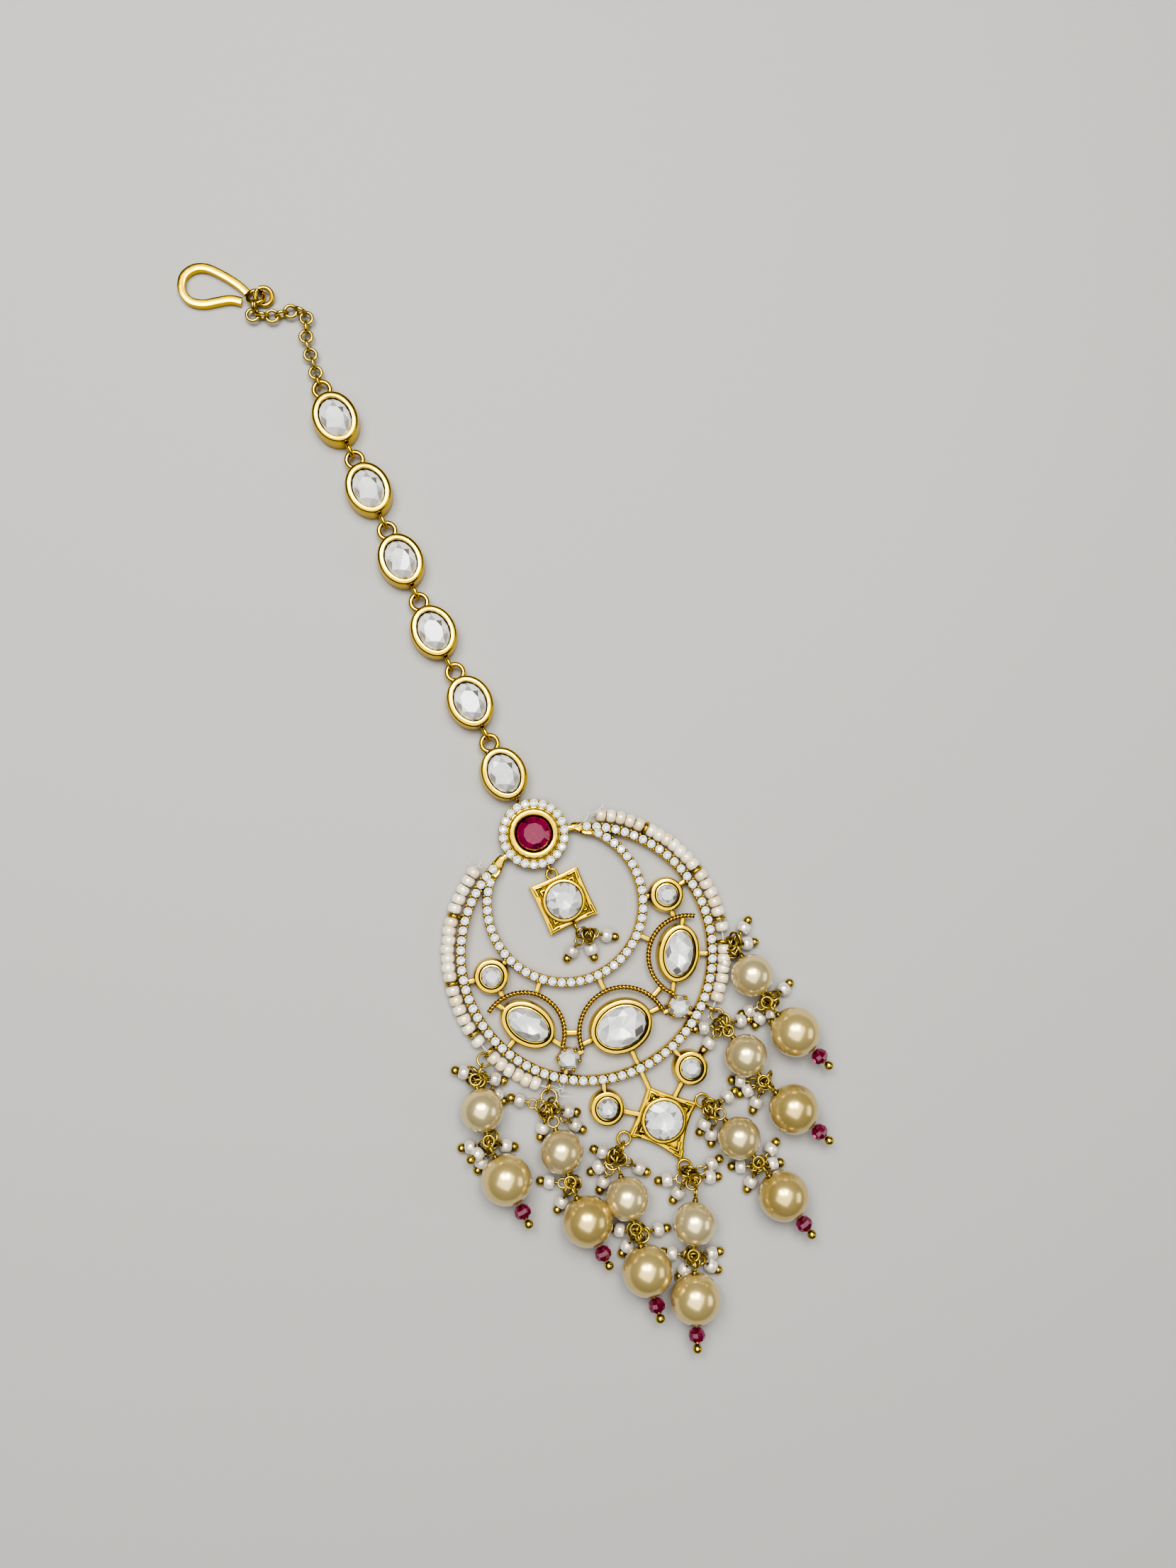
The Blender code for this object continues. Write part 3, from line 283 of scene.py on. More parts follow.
# Rolo chain
# Small round rings of antiqued brass wire, each a quarter turn from the next, from the top stone link to
# the hook. A larger ring, wound twice, joins the chain to the hook's eye.
CHAIN_RING_RADIUS = 0.86
CHAIN_HEIGHT = 1.1
CHAIN_ROUTE = (
    (-0.75, 75.0), (-0.45, 77.6), (0.15, 79.3), (0.95, 80.8), (0.85, 82.2), (-0.7, 82.9), (-3.0, 83.1),
)
CHAIN_END_TURN = -148
CHAIN_END_RING_RADIUS = 0.85
CHAIN_END_RING_LAY = 0.28
# These thicknesses set how the rings pass through one another
CHAIN_WIRE = 0.37
CHAIN_END_RING_WIRE = 0.4
CHAIN_EYE_WIRE = 0.52
# The wires that show have their plating on
CHAIN_RING_SHOWN = 0.51
CHAIN_END_RING_SHOWN = 0.38
LOOSE = 0.1
SOLDER = 0.06
LINK_DRIFT = (-0.33, -0.48, -1.05, -1.1, -1.1, -1.22)
LINK_PITCH = 11.24
LAST_LINK_Y = 9.47
LINK_LOOP_RADIUS = 1.17
LINK_LOOP_WIRE = 0.7
LINK_LOOP_REACH = 4.8


def link_turn(number):
    """How far a stone link is turned from +Y towards +X, from the links beside it."""
    below = LINK_DRIFT[max(number - 1, 0)]
    above = LINK_DRIFT[min(number + 1, len(LINK_DRIFT) - 1)]
    return degrees(atan2(above - below, 2 * LINK_PITCH))


def evenly(route, pitch):
    """Places along a route, a pitch apart in a straight line, from its first point on."""
    places = [route[0]]
    for start, end in zip(route, route[1:]):
        while (end - places[-1]).length >= pitch:
            line = end - start
            gap = start - places[-1]
            lean = gap.dot(line) / line.length_squared
            reach = sqrt(lean * lean - (gap.length_squared - pitch * pitch) / line.length_squared) - lean
            places.append(start + line * reach)
    return places


def spaced(route, count):
    """Places along a route, equally far apart, from its first point to its last."""
    low, high = 0.1, sum((b - a).length for a, b in zip(route, route[1:])) / count + 0.1
    for _ in range(40):
        step = (low + high) / 2
        low, high = (step, high) if len(evenly(route, step)) > count else (low, step)
    return [*evenly(route, low)[:count], route[-1]]


# Brass wire with a darkened gold finish, cloudy in patches about 1.5 mm across. Painted shade also turns it
# brown in the hollows and where the wires touch, leaving open surfaces brighter.
aged_gold = surface("antique_gold_wire", Metallic=1.0)
patches = noise(aged_gold, 1.5, 4.0)
# Painted shade: ambient occlusion darkens the wire where it is crowded, on top of the real patches of the
# finish
corners = add(aged_gold, "ShaderNodeAmbientOcclusion", {"Distance": 0.5 * MM}, samples=6).outputs["AO"]
patina_and_shade = add(aged_gold, "ShaderNodeMath", {0: patches, 1: corners}, operation="MULTIPLY").outputs[0]
coloured(aged_gold, ranged(aged_gold, patina_and_shade, 0.15, 0.5, 0.0, 1.0), "#62521E", "#CDB458")
feed(aged_gold, "Roughness", ranged(aged_gold, patches, 0.3, 0.7, 0.34, 0.2))
head_way = outward(link_turn(5)) * (LINK_LOOP_REACH + LINK_LOOP_RADIUS)
chain_start = Vector((LINK_DRIFT[5], LAST_LINK_Y + 5 * LINK_PITCH, 0)) + head_way
end_way = outward(CHAIN_END_TURN)
eye_edge = Vector((*HOOK_EYE_PLACE, 0)) + end_way * HOOK_EYE_RADIUS
end_ring = eye_edge + end_way * (CHAIN_END_RING_RADIUS - (CHAIN_END_RING_WIRE + CHAIN_EYE_WIRE) / 2 - LOOSE)
chain_radius = CHAIN_RING_RADIUS
for _ in range(6):
    first = chain_start + Vector((0, chain_radius - (CHAIN_WIRE + LINK_LOOP_WIRE) / 2 - LOOSE, 0))
    reach = CHAIN_END_RING_RADIUS + chain_radius - (CHAIN_END_RING_WIRE + CHAIN_WIRE) / 2 + SOLDER
    chain_line = smooth_route([first, *CHAIN_ROUTE, end_ring + end_way * reach], 12)
    length = sum((b - a).length for a, b in zip(chain_line, chain_line[1:]))
    chain_pitch = 2 * CHAIN_RING_RADIUS - CHAIN_WIRE + SOLDER
    ring_places = spaced(chain_line, round((length / chain_pitch - 1) / 2) * 2 + 1)
    chain_radius = ((ring_places[1] - ring_places[0]).length + CHAIN_WIRE - SOLDER) / 2
chain_rings = []
for i, ring_place in enumerate(ring_places):
    before, after = ring_places[max(i - 1, 0)], ring_places[min(i + 1, len(ring_places) - 1)]
    along = (after - before).normalized()
    across = along.cross(UP) if i % 2 else UP
    chain_rings.append(loop(ring_place + UP * CHAIN_HEIGHT, along, across, chain_radius))
coil_side = end_way.cross(UP)
coil_turns = loop(end_ring + UP * CHAIN_HEIGHT, end_way, UP, CHAIN_END_RING_RADIUS, 0, 720, 64)
end_coil = [point + coil_side * CHAIN_END_RING_LAY * (i / 32 - 1) for i, point in enumerate(coil_turns)]
chain_parts = [
    drawn("chain_rings", chain_rings, CHAIN_RING_SHOWN, closed=True),
    drawn("end_coil", [end_coil], CHAIN_END_RING_SHOWN),
]
dressed(joined("rolo_chain_wires", chain_parts), aged_gold, "aged_gold", "rolo_chain")

# Stone links
# Six oval cup settings, stamped from plated brass with a nearly upright wall and a broad bevelled rim. A
# flat wire loop is soldered to each head and an upright ring to each foot, which hooks through the loop of
# the link below.
LINK_BASE_LENGTH = 8.0
LINK_BASE_WIDTH = 6.6
LINK_RING_RADIUS = 1.05
LINK_RING_WIRE = 0.62
LINK_RING_REACH = 4.9
LINK_LOOP_HEIGHT = 1.4
HALO_LOOP_RADIUS = 0.8
HALO_LOOP_WIRE = 0.35
HALO_LOOP_HEIGHT = 0.66
HALO_LOOP_REACH = 0.35
HALO_RING_RADIUS = 0.46
STEM_REACH = 3.4
STEM_FALL = 0.75
HALO_CORE_DIAMETER = 7.2


def raised(length, width, steps, corners=64, outline=None):
    """A closed cup or plate: an outline on the table, and steps of (inwards, upwards) over it."""
    count = len(outline) if outline else corners
    cup = basic(bpy.ops.mesh.primitive_circle_add, vertices=count, radius=0.5, fill_type="NGON")
    for i, vertex in enumerate(cup.data.vertices):
        turn = 2 * pi * i / count
        vertex.co = (width / 2 * cos(turn) * MM, length / 2 * sin(turn) * MM, 0)
        if outline:
            vertex.co = (outline[i][0] * MM, outline[i][1] * MM, 0)
    bpy.ops.object.mode_set(mode="EDIT")
    bpy.ops.mesh.select_mode(type="FACE")
    bpy.ops.mesh.select_all(action="SELECT")
    for inwards, upwards in steps:
        if inwards:
            bpy.ops.mesh.inset(thickness=inwards * MM, depth=upwards * MM)
        else:
            bpy.ops.mesh.extrude_region_move(TRANSFORM_OT_translate={"value": (0, 0, upwards * MM)})
    bpy.ops.mesh.select_all(action="SELECT")
    bpy.ops.mesh.normals_make_consistent(inside=False)
    bpy.ops.object.mode_set(mode="OBJECT")
    return cup


def moved(piece, matrix):
    """Turns and moves a piece's own mesh, in millimetres."""
    shift = matrix.copy()
    shift.translation *= MM
    piece.data.transform(shift)
    return piece


def copied(master, matrices):
    """Copies of a piece, each with its own mesh, and a random number that its material reads."""
    copies = []
    for matrix in matrices:
        copy = linked(master.name, master.data.copy())
        lot = copy.data.attributes.new("lot", "FLOAT", "POINT")
        lot.data.foreach_set("value", [chance.random()] * len(copy.data.vertices))
        copies.append(moved(copy, matrix))
    return copies


def at(x, y, z=0, turn=0):
    """A place in millimetres, turned on the table from +Y towards +X."""
    return Matrix.Translation((x, y, z)) @ Matrix.Rotation(-radians(turn), 4, "Z")


chance = Random(7)
link_cup_steps = (
    (0, 0.4), (0.03, 0.35), (0.03, 0.75), (0.04, 0.8), (0.08, 0.42), (0.07, 0.14), (0.16, 0.1),
    (0.4, 0.05), (0.14, -0.03), (0.05, -0.15), (0.04, -0.42), (0.06, -0.3), (0.3, -0.7),
)
link_master = raised(LINK_BASE_LENGTH, LINK_BASE_WIDTH, link_cup_steps)
link_frames = [
    at(drift, LAST_LINK_Y + number * LINK_PITCH, 0, link_turn(number))
    for number, drift in enumerate(LINK_DRIFT)
]
for number, (link_cup, link_frame) in enumerate(zip(copied(link_master, link_frames), link_frames)):
    middle = link_frame.translation + UP * LINK_LOOP_HEIGHT
    up, across = outward(link_turn(number)), outward(link_turn(number) + 90)
    head = loop(middle + up * LINK_LOOP_REACH, across, up, LINK_LOOP_RADIUS)
    parts = [link_cup, drawn("head_loop", [head], LINK_LOOP_WIRE, closed=True)]
    if number:
        foot = loop(middle - up * LINK_RING_REACH, up, UP, LINK_RING_RADIUS)
        parts.append(drawn("foot_ring", [foot], LINK_RING_WIRE, closed=True))
    else:
        # The lowest link hangs on a small coil through the ruby cluster's loop
        crossing = HALO_CORE_DIAMETER / 2 + HALO_LOOP_REACH + HALO_LOOP_RADIUS
        centre = Vector((0, crossing, HALO_LOOP_HEIGHT))
        coil = loop(centre, up, UP, HALO_RING_RADIUS)
        stem = [centre + up * HALO_RING_RADIUS, middle - up * STEM_REACH - UP * STEM_FALL]
        parts.append(drawn("foot_coil", [coil], HALO_LOOP_WIRE, closed=True))
        parts.append(drawn("foot_stem", [stem], HALO_LOOP_WIRE))
    name = f"link_setting_{number + 1}"
    dressed(joined(name + "_polished", parts), gold, "bright_gold", name)
bpy.data.objects.remove(link_master, do_unlink=True)

# Link stones
# Oval glass stones, faceted and silvered behind, so that their backs throw the light straight out again.
LINK_STONE_LENGTH = 5.7
LINK_STONE_WIDTH = 4.3
LINK_STONE_HEIGHT = 2.2
GIRDLE_EDGE = 0.05
# How bright the table's painted reflection is, from 0 for the brightest facet colour to 1 for the darkest
TABLE_TONE = 0.06


def own(material, name):
    """A number that a mesh carries for its material to read."""
    return add(material, "ShaderNodeAttribute", {}, attribute_name=name).outputs["Fac"]


def cut_glass(name, bright, dark, transmission, refraction):
    """Polished cut glass with painted reflections: each facet is painted its own share of the light, bright
    ones beside dark.
    """
    material = surface(name, Roughness=0.01, IOR=refraction, Transmission_Weight=transmission)
    coloured(material, own(material, "tone"), bright, dark)
    return material


def cut_stone(length, width, table, rise, depth, corners, crown, back, shoulder=0.55):
    """A faceted stone, its girdle at the origin: flat sides between rings of corners, silvered underneath.

    A low shoulder leaves out the small facets that make a star round the table.
    """
    half = corners // 2
    rings = (
        (table, rise, half, 0), ((1 + table) / 2 + 0.06, rise * shoulder, half, 0.5),
        (1, GIRDLE_EDGE, corners, 0), (1, -GIRDLE_EDGE, corners, 0),
        (0.55, -depth * 0.55, half, 0.5), (0.06, -depth, half, 0),
    )
    points = []
    for share, height, count, shift in rings:
        for i in range(count):
            turn = 2 * pi * (i + shift) / count
            reach = share * MM / 2
            points.append((width * reach * cos(turn), length * reach * sin(turn), height * MM))
    mesh = bpy.data.meshes.new("cut_stone")
    mesh.from_pydata(points, [], [])
    stone = linked("cut_stone", mesh)
    select(stone)
    bpy.ops.object.mode_set(mode="EDIT")
    bpy.ops.mesh.select_all(action="SELECT")
    bpy.ops.mesh.convex_hull()
    bpy.ops.mesh.select_all(action="SELECT")
    bpy.ops.mesh.dissolve_limited(angle_limit=radians(0.5))
    bpy.ops.object.mode_set(mode="OBJECT")
    mesh.materials.append(crown)
    mesh.materials.append(back)
    for face in mesh.polygons:
        face.material_index = 1 if face.normal.z < -0.1 else 0
    # Painted reflections: each facet gets a random brightness, and the table a nearly bright one
    tones = mesh.attributes.new("tone", "FLOAT", "FACE")
    for face in mesh.polygons:
        tones.data[face.index].value = TABLE_TONE if face.normal.z > 0.99 else chance.random() ** 1.6
    return stone


def seated(stone, name, place, slot, node):
    """Puts a cut stone in its place under its name."""
    stone.name = name
    dressed(moved(stone, place), None, slot, node, angle=1)


# Clear glass with painted reflections: white facets beside grey ones, with the silvering seen through them
glass = cut_glass("clear_cut_glass", "#FFFFFC", "#7E7B72", 0.5, 1.6)
# The silvering on a stone's back: bright, with painted reflections that make it lighter or darker from one
# facet to the next
foil = surface("silver_foil", Metallic=0.6, Roughness=0.15)
coloured(foil, own(foil, "tone"), "#FFFFFF", "#77756F")
link_stone = cut_stone(LINK_STONE_LENGTH, LINK_STONE_WIDTH, 0.6, 0.5, 0.6, 16, glass, foil)
link_stone_places = [place @ Matrix.Translation(UP * LINK_STONE_HEIGHT) for place in link_frames]
for number, stone in enumerate(copied(link_stone, link_stone_places)):
    name = f"link_stone_{number + 1}"
    stone.name = name + "_cut"
    dressed(stone, None, "white_crystal", name, angle=1)
bpy.data.objects.remove(link_stone, do_unlink=True)

# Ruby cluster
# A round ruby-red glass stone in a tall polished collar, on a plated disc with a ring of small white
# stones. Each small stone sits in its own little collar at the very edge, held by pairs of raised gold
# beads.
HALO_DIAMETER = 9.9
HALO_STONES = 22
HALO_STONE_CIRCLE = 4.36
HALO_BEAD_OUT = 0.42
HALO_BEAD_IN = 0.46
PAVE_STONE = 1.22
PAVE_GIRDLE = 1.95
PAVE_BEAD = 0.42
PAVE_BEAD_LIFT = 0.08
PAVE_COLLAR_WALL = 0.1
PAVE_COLLAR_FOOT = 1.25
HALO_DISC_DIAMETER = 9.1
HALO_DISC_FOOT = 1.2
HALO_STEP_DIAMETER = 7.7
HALO_STEP_FOOT = 1.3
RUBY_COLLAR_DIAMETER = 6.9
RUBY_DIAMETER = 4.9
RUBY_GIRDLE = 2.45
RUBY_TURN = 12


def ball(diameter, subdivisions=3):
    """A small ball at the origin."""
    return basic(bpy.ops.mesh.primitive_ico_sphere_add, subdivisions=subdivisions, radius=diameter * MM / 2)


def pave(name, places, bead_places):
    """A row of small stones and the raised beads that hold them."""
    stones = [at(*place, PAVE_GIRDLE, chance.uniform(0, 45)) for place in places]
    tilted = [matrix @ Matrix.Rotation(radians(chance.uniform(-8, 8)), 4, "X") for matrix in stones]
    dressed(joined(name + "_stones", copied(pave_stone, tilted)), None, "white_crystal", angle=1)
    beads = [Matrix.Translation((x, y, PAVE_GIRDLE + PAVE_BEAD_LIFT)) for x, y in bead_places]
    dressed(joined(name + "_beads", copied(pave_bead, beads)), gold, "bright_gold", angle=180)


def round_place(centre, radius, turn):
    """A place in plan on a circle, turned from +Y towards +X."""
    return centre[0] + radius * sin(radians(turn)), centre[1] + radius * cos(radians(turn))


# Ruby-red glass with painted reflections: crimson facets beside nearly black ones. White zirconia, with
# painted reflections too, is brighter and more lively than glass.
ruby_glass = cut_glass("ruby_cut_glass", "#A51050", "#480626", 0.55, 1.62)
zirconia = cut_glass("white_zirconia", "#FFFFFC", "#7B7B78", 0.12, 2.0)
pave_stone = cut_stone(PAVE_STONE, PAVE_STONE, 0.42, 0.27, 0.3, 16, zirconia, foil)
pave_bead = ball(PAVE_BEAD, 2)
halo_turns = [360 * (i + 0.5) / HALO_STONES for i in range(HALO_STONES)]
halo_core = raised(HALO_CORE_DIAMETER, HALO_CORE_DIAMETER, ((0, 1.3), (0.1, 0)))
halo_disc_steps = ((0, 0.42), (0.08, 0.06), (0.6, 0), (0.02, -0.1), (0.05, 0))
halo_disc = moved(raised(HALO_DISC_DIAMETER, HALO_DISC_DIAMETER, halo_disc_steps), at(0, 0, HALO_DISC_FOOT))
halo_step_steps = ((0, 0.6), (0.05, 0.04), (0.16, 0), (0.04, -0.3), (0.1, 0))
halo_step = moved(raised(HALO_STEP_DIAMETER, HALO_STEP_DIAMETER, halo_step_steps), at(0, 0, HALO_STEP_FOOT))
ruby_collar_steps = (
    (0, 1.6), (0.03, 0.25), (0.07, 0.16), (0.12, 0.05), (0.4, -0.03), (0.14, -0.06), (0.06, -0.2),
    (0.04, -0.8), (0.3, -0.3),
)
ruby_collar = moved(raised(RUBY_COLLAR_DIAMETER, RUBY_COLLAR_DIAMETER, ruby_collar_steps), at(0, 0, 1.0))
collar_size = PAVE_STONE + PAVE_COLLAR_WALL
collar = raised(collar_size, collar_size, ((0, 0.52), (0.04, 0.04), (0.1, -0.2)), corners=20)
halo_stone_places = [round_place((0, 0), HALO_STONE_CIRCLE, turn) for turn in halo_turns]
halo_collars = copied(collar, [at(*place, PAVE_COLLAR_FOOT) for place in halo_stone_places])
halo_bead_places = []
for turn in halo_turns:
    between = turn + 180 / HALO_STONES
    halo_bead_places.append(round_place((0, 0), HALO_STONE_CIRCLE + HALO_BEAD_OUT, between))
    halo_bead_places.append(round_place((0, 0), HALO_STONE_CIRCLE - HALO_BEAD_IN, between))
pave("halo", halo_stone_places, halo_bead_places)
ruby_stone = cut_stone(RUBY_DIAMETER, RUBY_DIAMETER, 0.62, 0.55, 0.8, 20, ruby_glass, foil, 0.1)
seated(ruby_stone, "ruby_cut", at(0, 0, RUBY_GIRDLE, RUBY_TURN), "ruby", "ruby")

# Crescent
# Two cast bands of plated brass that run round the cluster and meet under it in two polished tips. Their
# tops are set with small white stones, each held by a pair of raised beads on either side.
OUTER_BAND_RADIUS = 17.77
OUTER_BAND = (0, -18.33)
INNER_BAND_RADIUS = 11.01
INNER_BAND = (0, -10.80)
OUTER_FIRST_TURN = 24.2
OUTER_STONES = 71
INNER_FIRST_TURN = 49.8
INNER_STONES = 39
BAND_BEAD_REACH = 0.5
BAND_BEAD_LEAN = 0.15
TIP = (5.6, -1.75)
band_section = (
    (-0.62, 0.15), (-0.66, 0.4), (-0.62, 1.5), (-0.5, 1.66), (-0.36, 1.58), (0.36, 1.58), (0.5, 1.66),
    (0.62, 1.5), (0.66, 0.4), (0.62, 0.15), (0.5, 0.0), (-0.5, 0.0),
)


def arc(centre, radius, start, end, steps, height=0):
    """Points along an arc in plan."""
    turns = [start + (end - start) * i / steps for i in range(steps + 1)]
    return [Vector((*round_place(centre, radius, turn), height)) for turn in turns]


frame_parts = [halo_core, halo_disc, halo_step, ruby_collar, *halo_collars]
outer_tip_turn = degrees(asin(TIP[0] / OUTER_BAND_RADIUS))
inner_tip_turn = degrees(asin(TIP[0] / INNER_BAND_RADIUS))
bands = [
    arc(OUTER_BAND, OUTER_BAND_RADIUS, outer_tip_turn, 360 - outer_tip_turn, 140),
    arc(INNER_BAND, INNER_BAND_RADIUS, inner_tip_turn, 360 - inner_tip_turn, 100),
]
frame_parts.append(drawn("bands", bands, section=band_section))


def band_row(name, centre, radius, first_turn, count):
    """The stones and beads along one band."""
    step = (360 - 2 * first_turn) / (count - 1)
    turns = [first_turn + step * i for i in range(count)]
    beads = []
    for turn in [first_turn - step / 2, *(turn + step / 2 for turn in turns)]:
        for side in (1, -1):
            beads.append(round_place(centre, radius + side * BAND_BEAD_REACH, turn + side * BAND_BEAD_LEAN))
    places = [round_place(centre, radius, turn) for turn in turns]
    pave(name, places, beads)
    return [at(*place, PAVE_COLLAR_FOOT) for place in places]


band_collars = band_row("outer_band", OUTER_BAND, OUTER_BAND_RADIUS, OUTER_FIRST_TURN, OUTER_STONES)
band_collars += band_row("inner_band", INNER_BAND, INNER_BAND_RADIUS, INNER_FIRST_TURN, INNER_STONES)
frame_parts += copied(collar, band_collars)

# Tips of the crescent: small polished plates, each joined to the cluster by a short bar
TIP_BAR_WIDTH = 0.75
TIP_BAR_LOW = 0.6
TIP_BAR_HIGH = 1.7


def bars(name, ends, width, low, high):
    """Flat bars with rounded edges, between pairs of places in plan."""
    section = rounded(width, low, high, min(0.14, width / 4))
    return drawn(name, [[Vector((*start, 0)), Vector((*end, 0))] for start, end in ends], section=section)


tip_corners = ((5.0, -1.35), (5.5, -0.75), (7.6, -1.6), (7.9, -2.6), (7.5, -3.6), (6.4, -3.0))
for side in (1, -1):
    tip_outline = [(side * x, y) for x, y in tip_corners]
    frame_parts.append(raised(1, 1, ((0, 1.75), (0.12, 0.1), (0.3, 0.0)), outline=tip_outline[::side]))
tip_bars = [((side * 3.9, -1.05), (side * 5.6, -1.5)) for side in (1, -1)]
frame_parts.append(bars("tip_bars", tip_bars, TIP_BAR_WIDTH, TIP_BAR_LOW, TIP_BAR_HIGH))

# Bezels of the crescent
# Round and oval cups of plated brass, soldered to the bands by short bars. Each wall steps in to a rounded
# rim that is burnished over a silvered glass stone, and two little stones on either side of the large oval
# are held by claws.
ROUND_DIAMETER = 5.1
SIDE_OVAL_LENGTH = 8.5
SIDE_OVAL_WIDTH = 6.2
SIDE_OVAL_TURN = 33
BIG_OVAL_LENGTH = 9.4
BIG_OVAL_WIDTH = 7.7
ROUND_PLACE = (13.62, -15.68)
SIDE_OVAL_PLACE = (11.73, -23.9)
BIG_OVAL_PLACE = (0.0, -29.74)
LOW_ROUND_PLACE = (6.5, -39.15)
PRONG_STONE_PLACE = (8.57, -30.66)
BEZEL_GIRDLE = 1.98
BEZEL_INSET = 2.24
CLAW_CUP_DIAMETER = 3.2
CLAW_CUP_INSET = 0.15
CLAW_WIRE = 0.42
CLAW_TIP = 0.52
CLAW_FOOT_REACH = 1.72
CLAW_TIP_REACH = 1.5
CLAW_LOW = 0.4
CLAW_HIGH = 2.5
bezel_steps = (
    (0, 1.2), (0.05, 0.3), (0.12, 0.55), (0.06, 0.22), (0.1, 0.06), (0.4, -0.02), (0.05, -0.38),
    (0.12, -0.05), (0.04, 0.32), (0.14, 0.03), (0.04, -0.45), (0.1, -0.3), (0.3, -0.3),
)
claw_cup_steps = ((0, 1.55), (0.05, 0.05), (0.1, 0), (0.05, -0.4))


def set_bezel(name, node, place, length, width, turn=0, steps=bezel_steps, inset=BEZEL_INSET):
    """A bezel among the frame's parts, and its stone as a piece of its own."""
    frame_parts.append(moved(raised(length, width, steps), at(*place, 0, turn)))
    stone = cut_stone(length - inset, width - inset, 0.58, 0.5, 0.42, 16, glass, foil)
    seated(stone, name, at(*place, BEZEL_GIRDLE, turn), "white_crystal", node)


set_bezel("big_oval_cut", "big_oval_stone", BIG_OVAL_PLACE, BIG_OVAL_WIDTH, BIG_OVAL_LENGTH)
claw = ball(CLAW_TIP)
side_bezels = {
    "side_round_stone_": (ROUND_PLACE, ROUND_DIAMETER, ROUND_DIAMETER, 0),
    "side_oval_stone_": (SIDE_OVAL_PLACE, SIDE_OVAL_LENGTH, SIDE_OVAL_WIDTH, SIDE_OVAL_TURN),
    "low_round_stone_": (LOW_ROUND_PLACE, ROUND_DIAMETER, ROUND_DIAMETER, 0),
}
for side, word in ((1, "right"), (-1, "left")):
    for kind, ((x, y), length, width, turn) in side_bezels.items():
        set_bezel(kind + word + "_cut", kind + word, (side * x, y), length, width, side * turn)
    place = (side * PRONG_STONE_PLACE[0], PRONG_STONE_PLACE[1])
    node = "prong_stone_" + word
    size = CLAW_CUP_DIAMETER
    set_bezel(node + "_cut", node, place, size, size, 0, claw_cup_steps, CLAW_CUP_INSET)
    claws = []
    for turn in range(0, 360, 60):
        foot = Vector((*round_place(place, CLAW_FOOT_REACH, turn), CLAW_LOW))
        tip = Vector((*round_place(place, CLAW_TIP_REACH, turn), CLAW_HIGH))
        claws.append([foot, foot + UP * 1.5, tip])
    frame_parts.append(drawn("claws", claws, CLAW_WIRE))
    frame_parts += copied(claw, [Matrix.Translation(route[-1]) for route in claws])

# Rope wires
# Two thin wires twisted together and bent into an arc behind each of the three ovals.
ROPE_HEIGHT = 1.6
ROPE_STRAND = 0.36
ROPE_LAY = 1.05
ROPE_STEP = 0.09
SIDE_ROPE_PLACE = (12.83, -24.82)
SIDE_ROPE_RADIUS = 5.72
BIG_ROPE_PLACE = (0, -30.62)
BIG_ROPE_RADIUS = 6.3


def rope(centre, radius, start, end):
    """Two strands wound round an arc."""
    length = radians(abs(end - start)) * radius
    steps = int(length / ROPE_STEP)
    strands = []
    for half_turn in (0, pi):
        strand = []
        for i in range(steps + 1):
            turn = start + (end - start) * i / steps
            wind = half_turn + 2 * pi * length * i / steps / ROPE_LAY
            out = outward(turn)
            middle = Vector((*round_place(centre, radius, turn), ROPE_HEIGHT))
            strand.append(middle + (out * cos(wind) + UP * sin(wind)) * ROPE_STRAND / 2)
        strands.append(strand)
    return strands


ropes = rope(BIG_ROPE_PLACE, BIG_ROPE_RADIUS, -87, 87)
for side in (1, -1):
    centre = (side * SIDE_ROPE_PLACE[0], SIDE_ROPE_PLACE[1])
    ropes += rope(centre, SIDE_ROPE_RADIUS, side * 33, side * -134)
# The rope's painted shade is kept close to its gold, so its corners barely darken
rope_gold = gold_plate("rope_gold_plate", "#CDB040")
dressed(drawn("rope_strands", ropes, ROPE_STRAND, sides=8), rope_gold, "bright_gold", angle=180)

# Bars under the bezels
# Short flat bars of brass, soldered underneath, that tie the cups, the rope wires and the bands together.
BAR_WIDTH = 0.7
BAR_LOW = 0.3
BAR_HIGH = 1.4


def nearest(place, centre, radius):
    """The place on a circle that is nearest to another place."""
    return round_place(centre, radius, degrees(atan2(place[0] - centre[0], place[1] - centre[1])))


def along_to_circle(place, turn, centre, radius):
    """Where a line from a place inside a circle, turned from +Y towards +X, meets the circle."""
    way = outward(turn).xy
    gap = Vector(place) - Vector(centre)
    reach = sqrt(gap.dot(way) ** 2 - gap.length_squared + radius * radius) - gap.dot(way)
    return tuple(Vector(place) + way * reach)


